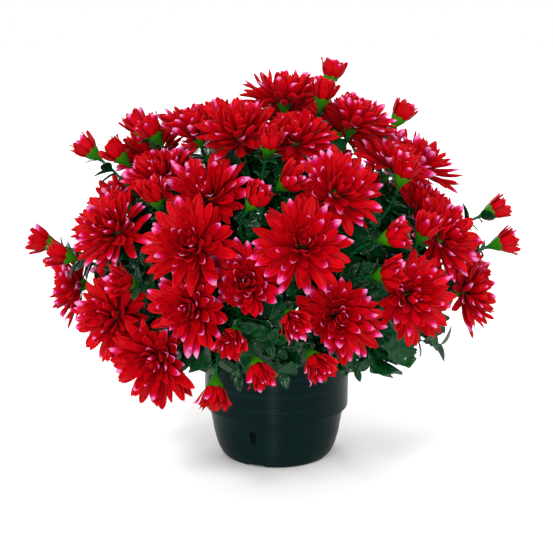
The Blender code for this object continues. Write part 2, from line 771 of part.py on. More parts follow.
def paint(obj, finish):
    obj.data.materials.clear()
    obj.data.materials.append(finish)
    obj.data.set_sharp_from_angle(angle=math.radians(35))


def main():
    clear_scene()
    collection = new_collection("pot_chrysanthemum")
    cutters = new_collection("cutters", shown=False)
    petal = material("petal", PETAL_RED, 0.45)
    green = material("foliage", LEAF_GREEN, 0.35)
    plastic = material("pot_plastic", POT_GREEN, 0.4)
    earth = material("soil", SOIL_BROWN, 0.95)
    heads = flower_heads()
    bounds = bounds_round(heads)
    stems = leafy_stems()
    paint(build_pot(collection, cutters), plastic)
    paint(build_soil(stems, collection, cutters), earth)
    for k, stem in enumerate(stems):
        name = "leafy_stem_top" if stem.is_top else f"leafy_stem_{k + 1:02d}"
        paint(build_stem(name, stem, heads, bounds, collection), green)
    blooms = [head for head in heads if head.kind == "bloom"]
    for k, head in enumerate(blooms):
        paint(build_bloom(f"bloom_{k + 1:02d}", head, bounds[head], collection), petal)


main()
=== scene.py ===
"""The looks of the pot chrysanthemum: layered cloth blooms, buds, glossy leaves, soil and a moulded pot.

Metres, +Z up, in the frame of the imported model. The crown's layout (where each bloom and bud sits, the
planes that part them and the wedge that each stem keeps to) is the same as in the model, so every piece
stays where the node that it replaces is. Azimuths are in degrees from the front (-Y), positive towards +X.
"""

import itertools
import math
import random
from collections import namedtuple
from dataclasses import dataclass
from math import cos, pi, radians, sin

import bmesh
import bpy
import numpy as np
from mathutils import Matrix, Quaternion, Vector, noise


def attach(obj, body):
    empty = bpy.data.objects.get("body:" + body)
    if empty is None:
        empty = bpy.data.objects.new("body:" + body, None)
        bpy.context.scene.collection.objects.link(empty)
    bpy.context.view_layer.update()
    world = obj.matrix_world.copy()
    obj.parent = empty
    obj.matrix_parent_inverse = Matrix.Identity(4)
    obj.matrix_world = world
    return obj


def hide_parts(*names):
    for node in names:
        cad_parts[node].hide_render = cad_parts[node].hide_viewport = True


# Camera
CAMERA_PLACE = Vector((0.0, -1.144, 0.428))
CAMERA_PITCH = 12.0
CAMERA_LENS = 74.9
SENSOR = 36.0

# Floor and lights: each sun's azimuth, elevation, strength and spread
FLOOR_REACH = 30.0
SUNS = {
    "flash": (-5, 7, 2.8, 7),
    "key": (-22, 42, 2.4, 16),
    "side": (95, 32, 1.3, 40),
    "back": (-155, 34, 2.4, 40),
}

# Crown, as in the model
CENTRE = Vector((0.0, 0.0, 0.150))
REACH = Vector((0.205, 0.178, 0.215))
FACING = Vector((0.5, 1.0, 0.75))
HEAD_GAP = 0.0004
PETAL_GAP = 0.0006
SHOOT_GAP = 0.0012
PLANE_TILTS = range(-80, 81, 10)
PLANE_STEPS = 17
FIXED_WEIGHT = 1000.0
BLOOMS = (
    (30, 86, 0.98),
    (-72, 66, 0.92), (-24, 66, 0.96), (14, 68, 0.91), (72, 68, 0.95), (120, 68, 0.90), (172, 70, 0.96),
    (-128, 70, 0.91),
    (-60, 49, 0.91), (-31, 47, 0.89), (24, 46, 0.95), (72, 52, 0.90), (97, 45, 0.96), (124, 50, 0.96),
    (156, 48, 0.90), (-172, 50, 0.96), (-140, 50, 0.90), (-104, 50, 0.96),
    (-87, 29, 0.92), (-60, 29, 0.98), (-27, 30, 0.97), (-10, 22, 0.87), (8, 31, 0.98), (64, 27, 0.95),
    (80, 36, 0.86), (114, 27, 0.90), (144, 28, 0.97), (172, 28, 0.90), (-160, 27, 0.97), (-134, 28, 0.90),
    (-112, 29, 0.97),
    (-55, 6, 0.94), (-27, 13, 0.92), (-36, -3, 0.97), (20, 11, 0.89), (41, 14, 0.98), (79, 8, 0.93),
    (104, 8, 0.97), (135, 8, 0.91), (158, 6, 0.97), (-174, 8, 0.93), (-146, 8, 0.92), (-118, 8, 0.93),
    (-88, 8, 0.97),
)
# Each bud's azimuth, elevation and share of the crown's reach, and how far it leans right and up if it does
BUDS = (
    (-92, 41, 1.13), (-84, 18, 1.12), (-88, 54, 1.04), (-80, 46, 1.02),
    (-73, 56, 1.00), (-42, 38, 1.02, 0.2, 0.8), (-4, 54, 1.06, 0.4, 0.7), (-9, 40, 1.04, 0.9, 0.6),
    (-71, 18, 1.06), (98, 77, 1.08), (44, 74, 1.02), (93, 58, 1.04),
    (47, 43, 1.04, 0, 1), (33, 30, 1.02, 1, 0.1), (47, 28, 1.02, 0, 1), (29, 21, 1.02, 1, 0),
    (96, 24, 1.13), (90, 17, 1.10), (-11, 8, 1.04, 0, -0.5), (-6, 0, 1.02, 0.5, -0.8),
    (-17, -6, 1.02, 0.2, -1.2), (3, 13, 1.04, 0.3, -0.6), (9, 2, 1.04, 0.3, -0.6), (-42, 17, 1.04),
    (126, 38, 1.08), (171, 14, 1.08), (1, 47, 1.00, 1, 0.1), (-150, 39, 1.08),
    (-122, 40, 1.08), (-133, 17, 1.06),
)
BLOOM_RADIUS = 0.047
BUD_RADIUS = 0.016
BLOOM_SIZES = (0.94, 1.04)
MOST_TILT = 6.0
WEDGE_EDGES = (-125, -77, -45, -19, 14, 52, 85, 131, 165, 207, 235)
TOP_ELEVATION = 57.0
CONE_MARGIN = 2.0
WEDGE_MARGIN = 0.001
STEM_CIRCLE = 0.034
FORK_RADIUS = 0.074
FORK_HEIGHT = 0.190
TOP_FORK_HEIGHT = 0.245
FIRST_BRANCH = 0.25
SHOOT_LENGTH = 0.036
CALYX_RADIUS = 0.0075
STEM_FOOT = 0.0665
STEM_RADII = (0.0034, 0.0034, 0.0033, 0.0028, 0.0018)
BRANCH_RADII = (0.0018, 0.0014)
NECK_LENGTH = 0.012
SEAT_GAP = 0.0003
HEAD_SHAPE = ((0.010, 0.0), (0.004, 0.013))
Ring = namedtuple("Ring", "elevation length half_width count curl")
OUTLINE_TURNS = 12
MODEL_RINGS = ((2, 0.047), (13, 0.046), (30, 0.039), (40, 0.036), (66, 0.027))
MODEL_BUD = ((0.0017, -0.036), (0.0036, 0.0), (0.0088, 0.013), (0.0102, 0.025))
LIFTS = range(0, 46, 3)
LIFT_TURNS = 24
LIFT_SHARE = 0.85
TENTHS_A_METRE = 10000

# Petals, ring by ring from the outside in
RINGS = (
    Ring(1, 0.0478, 0.0047, 12, 2),
    Ring(10, 0.047, 0.0048, 12, 4),
    Ring(20, 0.0448, 0.0047, 11, 6),
    Ring(31, 0.0412, 0.0045, 10, 8),
    Ring(43, 0.0378, 0.0042, 9, 10),
    Ring(55, 0.0342, 0.0038, 7, 10),
    Ring(68, 0.0308, 0.0033, 6, 8),
    Ring(80, 0.0275, 0.0028, 4, 0),
)
PETAL_ALONG = np.array((0.0, 0.16, 0.32, 0.48, 0.62, 0.75, 0.86, 0.94, 1.0))
PETAL_WIDTH = np.array((0.34, 0.48, 0.70, 0.90, 1.0, 0.97, 0.78, 0.48, 0.12))
PETAL_ACROSS = np.linspace(-1, 1, 5)
SHORT_PETAL_ROWS = [0, 2, 4, 5, 6, 7, 8]
SHORT_PETALS_FROM = 4
PETAL_TIPS = (
    (0.0, 0.0, 0.0, 0.0, 0.0),
    (0.02, 0.03, -0.03, 0.03, 0.02),
    (-0.01, -0.035, 0.03, -0.035, -0.01),
)
TIP_CHOICES = (0, 0, 1, 2, 2)
PETAL_LENGTHS = (0.88, 1.02)
PETAL_WIDTHS = (0.86, 1.12)
PETAL_CURLS = (-14, 16)
PETAL_CUPS = (0.35, 0.75)
PETAL_TWISTS = (-26, 26)
SHORTEST_PETAL = 0.012
ROSINESS = (0.16, 0.50)
ROSE_TINTS = (0.6, 1.0)
PETAL_ROOT = 0.006
PETAL_THICKNESS = 0.0003
BELLY = 0.65
CELL_SHAPE = 2.2
CELL_MARGIN = 0.05

# Buds: the petals of each layer, their half width and the profile of their middle, then the calyx cups
BUD_LAYERS = (
    (7, 0.0043, ((0.003, 0.0045), (0.0068, 0.0085), (0.0106, 0.014), (0.0124, 0.02), (0.0142, 0.0262))),
    (6, 0.0039, ((0.003, 0.0045), (0.0066, 0.0095), (0.0088, 0.016), (0.0094, 0.0225), (0.0106, 0.0282))),
    (5, 0.0033, ((0.0015, 0.006), (0.0042, 0.011), (0.006, 0.0175), (0.0064, 0.0235), (0.007, 0.0278))),
    (3, 0.0026, ((0.0005, 0.008), (0.0018, 0.013), (0.0028, 0.0185), (0.0028, 0.023), (0.0024, 0.0264))),
)
BUD_CORE = 0.0004
BUD_ROSINESS = 0.25
BUD_CALYX = (
    (-0.005, 0.0016), (-0.002, 0.0024), (0.001, 0.004),
    (0.004, 0.006), (0.0066, 0.0075), (0.0084, 0.0082),
)
BLOOM_CALYX = ((-0.014, 0.0014), (-0.009, 0.0024), (-0.005, 0.0046), (-0.002, 0.0068), (-0.0007, 0.0076))

# Leaves: a large lobed one, and a small oval one
LEAF_ROWS = 16
LEAF_COLUMNS = 7
OVAL_ROWS = 6
OVAL_COLUMNS = 5
LEAF_LOBES = 3.0
LEAF_LENGTH = 0.058
LEAF_HALF_WIDTH = 0.022
LEAF_SHELL = 0.97
LEAF_LOWEST = 0.113
HANGING_LOWEST = 0.080
LEAF_THICKNESS = 0.0005
LEAF_ROLLS = (0, 25, -25, 50, -50, 75, -75)
LEAF_SHRINKS = (1.0, 0.88, 0.76, 0.64, 0.52)
LEAVES_A_STEM = 38
LEAVES_AT_TOP = 58
LEAF_SHARES = (0.46, 0.78)
CORE_LEAVES = 6
CORE_SHARES = (0.30, 0.44)
Part = namedtuple("Part", "spread sines area")
LEAVES_ABOVE = Part(180, (0.86, 1.0), 0.9)
LEAVES_BELOW = Part(26, (-0.2, 0.82), 0.65)
MOST_TRIES = 4000
STALK = (0.0011, 0.0010, 0.0009, 0.0004)
RIM_STALK = (0.0012, 0.0011, 0.0010, 0.0004)
STALK_TIP = 0.012
STALK_SIDES = 5
HEAD_SPACE = (-0.002, 0.05)
SPRAYS_A_STEM = 12
SPRAY_LEAVES = 8
SPRAY_FOOT = 0.55
SPRAY_TIPS = (0.78, 0.93)
SHORT_SPRAY_TIP = 0.76
BUD_LEAVES = 7
SMALL_LENGTHS = (0.015, 0.022)
SMALL_SHRINKS = (1.0, 0.85, 0.7, 0.55)
GOLDEN_TURN = radians(137.5)
Low = namedtuple("Low", "turn elevation share droop")
SKIRT = (Low(-9, -5, 0.5, 0.25), Low(9, 0, 0.6, 0.1), Low(1, -4, 0.47, -0.1))
SKIRT_SCALE = 0.8
Hanging = namedtuple("Hanging", "foot along facing scale")
HANGING = (
    Hanging((0.001, -0.108, 0.161), (0.05, -0.2, -0.97), (0.0, -1.0, 0.35), 0.74),
    Hanging((0.11, -0.108, 0.168), (0.18, -0.25, -0.95), (0.25, -1.0, 0.35), 0.7),
    Hanging((-0.128, -0.058, 0.14), (-0.1, -0.12, -0.98), (-0.5, -1.0, 0.1), 0.78),
    Hanging((0.15, -0.045, 0.168), (0.2, -0.15, -0.95), (0.3, -1.0, 0.2), 0.7),
)

# Pot, as in the model but finely turned
POT_HEIGHT = 0.112
RIM_RADIUS = 0.0755
FOOT_RADIUS = 0.0535
POT_SEGMENTS = 144
POT_CLEARANCE = 0.004
POT_OUTSIDE = (
    (0.0738, POT_HEIGHT), (0.075, 0.1118), (RIM_RADIUS, 0.111), (RIM_RADIUS, 0.1066), (0.0753, 0.1061),
    (0.0747, 0.1055), (0.0744, 0.104), (0.0738, 0.0532), (0.0733, 0.0516), (0.0718, 0.0504),
    (0.0697, 0.0497), (0.0691, 0.0485), (0.0668, 0.036), (0.065, 0.025), (0.0627, 0.0155),
    (0.0604, 0.0085), (0.0577, 0.0034), (0.0555, 0.0009), (FOOT_RADIUS, 0.0), (0.0505, 0.0),
    (0.0495, 0.004), (0.0, 0.004),
)
POT_INSIDE = (
    (0.0, 0.0065), (0.053, 0.0065), (0.0598, 0.0165), (0.064, 0.036), (0.0664, 0.05),
    (0.0696, 0.0535), (0.0726, 0.1105), (0.073, 0.1118),
)
NOTCHES = 4
NOTCH_SIZE = (0.019, 0.02, 0.0056)
FIRST_NOTCH_AZIMUTH = -22.0
SLOT_SIZE = (0.0065, 0.004, 0.013)
SLOT_DEPTH = 0.0012
SLOT_HEIGHT = 0.034
SLOT_WALL = 0.0664
SLOT_SIDES = (0.0028, 0.0034)
SLOT_ENDS = (0.0060, 0.0066)
SLOT_AZIMUTHS = (-20.5, 159.5)
MOULD_LINES = (0.0645, 0.079, 0.081, 0.0975)
DRAIN_HOLES = 5
DRAIN_RADIUS = 0.004
DRAIN_CIRCLE = 0.034
DRAIN_REACH = (0.002, 0.009)
SHARP_ANGLE = 32

# Soil
SOIL_SIDE = ((0.0525, 0.007), (0.063, 0.036), (0.0652, 0.0503))
SOIL_EDGE = (0.0712, 0.096)
SOIL_CROWN = 0.1
SOIL_MIDDLE = 0.0001
CRUMB_HEIGHT = 0.0028
SOIL_TURNS = 96
SOIL_RINGS = 30


@dataclass(frozen=True, eq=False)
class Head:
    """A bloom or a bud: the way it lies from the crown's centre, where it sits and the way it faces."""

    kind: str
    way: Vector
    seat: Vector
    axis: Vector
    radius: float


Stem = namedtuple("Stem", "azimuth walls base fork is_top")
Bound = namedtuple("Bound", "normals offsets seats axes")


def unit(azimuth, elevation):
    """The direction with this azimuth and elevation, in degrees."""
    a, e = radians(azimuth), radians(elevation)
    return Vector((sin(a) * cos(e), -cos(a) * cos(e), sin(e)))


def elevation_of(way):
    return math.degrees(math.atan2(way.z, math.hypot(way.x, way.y)))


def on_crown(way, share):
    """The point of the crown in this direction, at this share of its reach."""
    scaled = Vector((way.x / REACH.x, way.y / REACH.y, way.z / REACH.z))
    return CENTRE + way * (share / scaled.length)


def frame_of(axis):
    """Two directions square to the axis and to each other."""
    side = axis.cross(Vector((0, 0, 1)))
    side = side.normalized() if side.length > 0.05 else Vector((1, 0, 0))
    return side, axis.cross(side).normalized()


def around(side, up, turn):
    """The direction at this turn between two directions that are square to each other."""
    return side * cos(turn) + up * sin(turn)


def turns_of(count):
    """The angles of this many even steps round a circle."""
    return np.arange(count) * 2 * pi / count


def arrays_of(head):
    """A head's seat and its side, up and facing directions, as arrays."""
    return tuple(np.array(part) for part in (head.seat, *frame_of(head.axis), head.axis))


def linked(name, data):
    """A new object in the scene, made of this data."""
    made = bpy.data.objects.new(name, data)
    bpy.context.scene.collection.objects.link(made)
    return made


def tilted(way, draw):
    side, up = frame_of(way)
    turn = draw.uniform(0, 2 * pi)
    slope = math.tan(radians(draw.uniform(0, MOST_TILT)))
    return (way + around(side, up, turn) * slope).normalized()


def flower_heads():
    draw = random.Random(11)
    heads = []
    for azimuth, elevation, share in BLOOMS:
        way = unit(azimuth, elevation)
        axis = tilted((way * FACING).normalized(), draw)
        radius = BLOOM_RADIUS * draw.uniform(*BLOOM_SIZES)
        heads.append(Head("bloom", way, on_crown(way, share), axis, radius))
    for azimuth, elevation, share, *lean in BUDS:
        way = unit(azimuth, elevation)
        right, up = lean or (0, 0)
        axis = (way + Vector((right, 0, up))).normalized()
        heads.append(Head("bud", way, on_crown(way, share), axis, BUD_RADIUS))
    return heads


def knee_of(head):
    """Where the shoot under a head turns to face the same way as the head."""
    return head.seat - head.axis * SHOOT_LENGTH


def outline_points(head):
    """Points of a head and, for each, how much it counts where a plane cuts it off: petals can bend."""
    side, up = frame_of(head.axis)
    if head.kind == "bloom":
        size = head.radius / BLOOM_RADIUS
        rows = [(*row, FIXED_WEIGHT) for row in HEAD_SHAPE]
        for elevation, length in MODEL_RINGS:
            slope = radians(elevation)
            rows.append((length * cos(slope), length * sin(slope), 1.0))
    else:
        size = 1.0
        rows = [(*row, FIXED_WEIGHT) for row in MODEL_BUD]
    points, weights = [], []
    for across, along, weight in rows:
        for k in range(OUTLINE_TURNS):
            out = around(side, up, radians(360 / OUTLINE_TURNS * k))
            points.append(head.seat + (out * across + head.axis * along) * size)
            weights.append(weight)
    return np.array(points), np.array(weights)


def parting_plane(a, b, outlines):
    """The plane between two heads that bends their petals least: its normal, from a to b, and offset."""
    radial = (a.way + b.way).normalized()
    across = b.seat - a.seat
    across = (across - radial * across.dot(radial)).normalized()
    best = None
    for tilt in PLANE_TILTS:
        slope = radians(tilt)
        normal = across * cos(slope) + radial * sin(slope)
        (first, first_weights), (second, second_weights) = outlines[a], outlines[b]
        near, far = first @ np.array(normal), second @ np.array(normal)
        for offset in np.linspace(a.seat.dot(normal), b.seat.dot(normal), PLANE_STEPS):
            cost = (first_weights * np.clip(near + HEAD_GAP - offset, 0, None)).sum()
            cost += (second_weights * np.clip(offset + HEAD_GAP - far, 0, None)).sum()
            if best is None or cost < best[0]:
                best = (cost, normal, offset)
    return best[1:]


def bounds_round(heads):
    """For each head, the planes it keeps behind and the other heads' shoots it keeps clear of."""
    outlines = {head: outline_points(head) for head in heads}
    found = {head: ([], [], [], []) for head in heads}
    for k, a in enumerate(heads):
        for b in heads[k + 1:]:
            apart = (a.seat - b.seat).length
            if apart > a.radius + b.radius + BUD_RADIUS:
                continue
            normal, offset = parting_plane(a, b, outlines)
            for one, other, sign in ((a, b, 1), (b, a, -1)):
                values = (normal * sign, offset * sign, other.seat, other.axis)
                for column, value in zip(found[one], values):
                    column.append(value)
    return {head: Bound(*(np.array(column) for column in found[head])) for head in heads}


def are_clear(points, bound):
    """Whether every one of these points is behind a head's planes and clear of its neighbours' shoots."""
    if not len(bound.offsets):
        return True
    if (points @ bound.normals.T > bound.offsets - PETAL_GAP).any():
        return False
    offset = points[:, None, :] - bound.seats[None]
    down = -(offset * bound.axes).sum(axis=2)
    aside = np.linalg.norm(offset + bound.axes * down[..., None], axis=2)
    widest = CALYX_RADIUS * np.clip(1.0 - down / SHOOT_LENGTH, 0, None)
    return not ((down > 0) & (aside < widest + SHOOT_GAP)).any()


def excess(points, bound):
    """How far each point is past a head's planes."""
    return np.clip(points @ bound.normals.T - bound.offsets, 0, None).sum(axis=1)


def lifts_round(head, bound):
    """How far a bloom's lowest petals lift, all the way round, to clear its neighbours."""
    seat, side, up, axis = arrays_of(head)
    reach = head.radius * LIFT_SHARE
    slopes = np.radians(np.array(LIFTS))
    lifts = []
    for k in range(LIFT_TURNS):
        outward = around(side, up, 2 * pi * k / LIFT_TURNS)
        spots = np.outer(np.cos(slopes), outward) + np.outer(np.sin(slopes), axis)
        past = np.round(excess(seat + spots * reach, bound) * TENTHS_A_METRE)
        lifts.append(LIFTS[int(past.argmin())])
    for _ in range(2):
        lifts = [(lifts[k - 1] + 2 * lifts[k] + lifts[(k + 1) % LIFT_TURNS]) / 4 for k in range(LIFT_TURNS)]
    return lifts


class Patches:
    """Grids of points gathered into one mesh, each point with its place on its grid, a tint and a tone."""

    def __init__(self):
        self.points, self.faces, self.looks, self.finishes, self.cells = [], [], [], [], []
        self.size = 0

    def add(self, grid, tint=0.0, tone=0.5, finish=0, closed=False):
        """A grid of rows along and columns across; closed joins its last column to its first."""
        rows, columns = grid.shape[:2]
        along = np.repeat(np.linspace(0, 1, rows), columns)
        across = np.tile(np.linspace(0, 1, columns), rows)
        count = rows * columns
        self.points.append(grid.reshape(-1, 3))
        self.looks.append(np.column_stack((along, across, np.full(count, tint), np.full(count, tone))))
        wrap = columns if closed else columns - 1
        first = self.size + np.arange(count).reshape(rows, columns)
        after = np.roll(first, -1, axis=1)
        corners = np.stack((first[:-1], after[:-1], after[1:], first[1:]), axis=-1)
        self.faces.extend(corners[:, :wrap].reshape(-1, 4).tolist())
        self.finishes.extend([finish] * ((rows - 1) * wrap))
        self.cells.append((rows - 1, wrap))
        self.size += count

    def unwrapped(self):
        """Each corner's place on a sheet where every grid has a cell of its own."""
        beside = math.ceil(math.sqrt(len(self.cells) * CELL_SHAPE))
        above = math.ceil(len(self.cells) / beside)
        corners = []
        for k, (rows, columns) in enumerate(self.cells):
            row, column = np.divmod(np.arange(rows * columns), columns)
            across = (column[:, None] + np.array((0, 1, 1, 0))) / columns
            along = (row[:, None] + np.array((0, 0, 1, 1))) / rows
            across = (k % beside + CELL_MARGIN + (1 - 2 * CELL_MARGIN) * across) / beside
            along = (k // beside + CELL_MARGIN + (1 - 2 * CELL_MARGIN) * along) / above
            corners.append(np.stack((across, along), axis=-1).reshape(-1, 2))
        return np.concatenate(corners)

    def made(self, name, materials, thickness=0.0):
        mesh = bpy.data.meshes.new(name)
        mesh.from_pydata(np.concatenate(self.points).tolist(), [], self.faces)
        look = mesh.attributes.new("look", "FLOAT_COLOR", "POINT")
        look.data.foreach_set("color", np.concatenate(self.looks).astype(np.float32).ravel())
        sheet = mesh.uv_layers.new(name="OFBake")
        sheet.data.foreach_set("uv", self.unwrapped().astype(np.float32).ravel())
        for material in materials:
            mesh.materials.append(material)
        mesh.polygons.foreach_set("material_index", self.finishes)
        mesh.polygons.foreach_set("use_smooth", [True] * len(self.faces))
        mesh.update()
        made = linked(name, mesh)
        if thickness:
            shell = made.modifiers.new("thickness", "SOLIDIFY")
            shell.thickness = thickness
            shell.offset = 0.0
        return made


def petal_grid(head_frame, turn, angle, length, half_width, curl, cup, twist, wave, tip):
    """The points of one petal: it leaves the dome, widens and cups like a spoon, and ends bluntly."""
    seat, side, up, axis = head_frame
    out = around(side, up, turn)
    tangent = up * cos(turn) - side * sin(turn)
    s = PETAL_ALONG[:, None] + np.where(PETAL_ALONG[:, None] > 0.97, np.array(tip)[None], 0.0)
    slope = angle + curl * (s - BELLY)
    reach = PETAL_ROOT + (length - PETAL_ROOT) * s
    lane = PETAL_ACROSS[None]
    wide = half_width * PETAL_WIDTH[:, None] * lane
    rise = cup * (0.4 + 0.8 * s) * (lane ** 2 - 0.3) - 0.12 * (1 - np.abs(lane))
    rise += wave[0] * np.sin(2 * pi * (1.4 * s + wave[1])) * lane ** 3
    rise *= half_width * PETAL_WIDTH[:, None]
    lean = twist * s
    sideways = wide * np.cos(lean) - rise * np.sin(lean)
    upwards = wide * np.sin(lean) + rise * np.cos(lean)
    points = seat + (out * np.cos(slope)[..., None] + axis * np.sin(slope)[..., None]) * reach[..., None]
    normal = axis * np.cos(slope)[..., None] - out * np.sin(slope)[..., None]
    return points + tangent * sideways[..., None] + normal * upwards[..., None]


def build_bloom(name, head, bound, finish):
    """A bloom of layered spoon petals, lifted and then shortened where they would run into a neighbour."""
    draw = random.Random(name)
    lifts = lifts_round(head, bound)
    size = head.radius / BLOOM_RADIUS
    head_frame = arrays_of(head)
    patches = Patches()
    phase = draw.uniform(0, 2 * pi)
    rosiness = draw.uniform(*ROSINESS)
    for row, ring in enumerate(RINGS):
        for k in range(ring.count):
            turn = phase + (k + 0.5 * (row % 2) + draw.uniform(-0.2, 0.2)) * 2 * pi / ring.count
            place = turn / (2 * pi) * LIFT_TURNS % LIFT_TURNS
            before, share = int(place), place % 1.0
            lowest = lifts[before] * (1 - share) + lifts[(before + 1) % LIFT_TURNS] * share
            angle = radians(lowest + (ring.elevation + draw.uniform(-4, 6)) * (90 - lowest) / 90)
            length = ring.length * size * draw.uniform(*PETAL_LENGTHS)
            half_width = ring.half_width * size * draw.uniform(*PETAL_WIDTHS)
            curl = radians(ring.curl + draw.uniform(*PETAL_CURLS))
            cup = draw.uniform(*PETAL_CUPS)
            twist = radians(draw.uniform(*PETAL_TWISTS))
            wave = (draw.uniform(0.0, 0.2), draw.random())
            tip = PETAL_TIPS[draw.choice(TIP_CHOICES)]
            is_rosy = draw.random() < rosiness * (1.25 if row < SHORT_PETALS_FROM else 0.8)
            tint = draw.uniform(*ROSE_TINTS) if is_rosy else 0.0
            tone = draw.random()
            shape = (curl, cup, twist, wave, tip)
            grid = petal_grid(head_frame, turn, angle, length, half_width, *shape)
            while length > SHORTEST_PETAL and not are_clear(grid.reshape(-1, 3), bound):
                length *= 0.95
                half_width *= 0.985
                grid = petal_grid(head_frame, turn, angle, length, half_width, *shape)
            if row >= SHORT_PETALS_FROM:
                grid = grid[SHORT_PETAL_ROWS]
            if length > SHORTEST_PETAL:
                patches.add(grid, tint, tone)
    return patches.made(name, [finish], PETAL_THICKNESS)


def bud_petal(head_frame, turn, profile, half_width, roll, climb):
    """One petal of a bud: its middle follows the profile, and its sides wrap round, one in and one out."""
    seat, side, up, axis = head_frame
    steps = np.linspace(0, 1, len(profile))
    radius, height = (np.interp(PETAL_ALONG, steps, values)[:, None] for values in zip(*profile))
    lane = PETAL_ACROSS[None]
    wide = half_width * np.maximum(PETAL_WIDTH, 0.5 - PETAL_ALONG)[:, None] * lane
    angle = turn + wide / np.maximum(radius, half_width * 0.8)
    across = radius * (1 + roll * lane - 0.10 * (1 - lane ** 2))
    along = height + climb * PETAL_ALONG[:, None] ** 2
    out = side * np.cos(angle)[..., None] + up * np.sin(angle)[..., None]
    return seat + out * across[..., None] + axis * along[..., None]


def add_bud_petals(patches, head, draw):
    """A bud's layers of petals, open by a random amount."""
    opening = draw.uniform(-0.0016, 0.0016)
    for count, half_width, profile in BUD_LAYERS:
        phase = draw.uniform(0, 1)
        for k in range(count):
            turn = (k + phase + draw.uniform(-0.16, 0.16)) * 2 * pi / count
            flare = opening + draw.uniform(-0.0012, 0.0012)
            path = []
            for j, (radius, height) in enumerate(profile):
                path.append((max(BUD_CORE, radius + flare * j * j / 16), height))
            wide = half_width * draw.uniform(0.88, 1.1)
            roll, climb = draw.uniform(0.02, 0.12), draw.uniform(-0.003, 0.001)
            grid = bud_petal(arrays_of(head), turn, path, wide, roll, climb)
            tint = draw.uniform(*ROSE_TINTS) if draw.random() < BUD_ROSINESS else 0.0
            patches.add(grid, tint, draw.random())


def tube(patches, points, radii, sides):
    """A round shoot through the points."""
    path = [Vector(point) for point in points]
    turns = turns_of(sides)
    way = (path[1] - path[0]).normalized()
    side = frame_of(way)[0]
    rows = []
    for k, (point, radius) in enumerate(zip(path, radii)):
        if k:
            way = (point - path[k - 1]).normalized()
            side = (side - way * side.dot(way)).normalized()
        up = way.cross(side)
        ring = np.outer(np.cos(turns), np.array(side)) + np.outer(np.sin(turns), np.array(up))
        rows.append(np.array(point) + ring * radius)
    patches.add(np.array(rows), 0.0, 0.5, 1, closed=True)


def bent_path(start, knee, end, count):
    """Points of a smooth bend from the start, towards the knee and straight on into the end."""
    return [start.lerp(knee, t).lerp(knee.lerp(end, t), t) for t in np.linspace(0, 1, count)]


def leafy_stems():
    stems = []
    for low, high in zip(WEDGE_EDGES, WEDGE_EDGES[1:]):
        middle = (low + high) / 2
        out = unit(middle, 0)
        walls = (-unit(low + 90, 0), unit(high + 90, 0))
        fork = out * FORK_RADIUS + Vector((0, 0, FORK_HEIGHT))
        stems.append(Stem(middle, walls, out * STEM_CIRCLE, fork, False))
    stems.append(Stem(0, (), Vector((0, 0, 0)), Vector((0, 0, TOP_FORK_HEIGHT)), True))
    return stems


def carries(stem, way):
    """Whether a head or leaf in this direction grows from this stem."""
    is_high = elevation_of(way) > TOP_ELEVATION
    return is_high == stem.is_top and all(wall.dot(way) < 0 for wall in stem.walls)


def are_free(stem, points):
    """Whether points of a leaf are clear of the other stems' wedges and of the pot."""
    flat = np.hypot(points[:, 0], points[:, 1])
    slope = np.degrees(np.arctan2(points[:, 2] - CENTRE.z, flat))
    if stem.is_top:
        return bool((slope > TOP_ELEVATION + CONE_MARGIN).all())
    over_pot = (flat < RIM_RADIUS + POT_CLEARANCE) & (points[:, 2] < POT_HEIGHT + POT_CLEARANCE)
    inside = all((points @ np.array(wall) < -WEDGE_MARGIN).all() for wall in stem.walls)
    return bool(inside and (slope < TOP_ELEVATION - CONE_MARGIN).all() and not over_pot.any())


def shares_of(points):
    return np.linalg.norm((points - np.array(CENTRE)) / np.array(REACH), axis=-1)


class Room:
    """The space that a stem's leaves may fill: its own wedge, under and between the flower heads."""

    def __init__(self, stem, heads, joints):
        self.stem = stem
        self.joints = joints
        self.seats = np.array([head.seat for head in heads])
        self.axes = np.array([head.axis for head in heads])
        self.reaches = np.array([head.radius * (1.0 if head.kind == "bloom" else 0.9) for head in heads])

    def nearest_joint(self, place):
        return min(self.joints, key=lambda joint: (joint - place).length)

    def holds(self, points, lowest=LEAF_LOWEST):
        if points[:, 2].min() < lowest or (shares_of(points) > LEAF_SHELL).any():
            return False
        if not are_free(self.stem, points):
            return False
        offset = points[:, None, :] - self.seats[None]
        along = (offset * self.axes).sum(axis=2)
        aside = np.linalg.norm(offset - self.axes * along[..., None], axis=2)
        low, high = HEAD_SPACE
        return not ((along > low) & (along < high) & (aside < self.reaches)).any()


def laid_out(foot, along, normal, forward, wide, rise):
    """The points this far along, across and above a leaf that lies this way."""
    across = normal.cross(along).normalized()
    normal = along.cross(across).normalized()
    points = np.array(foot) + np.array(along) * forward[..., None]
    return points + np.array(across) * wide[..., None] + np.array(normal) * rise[..., None]


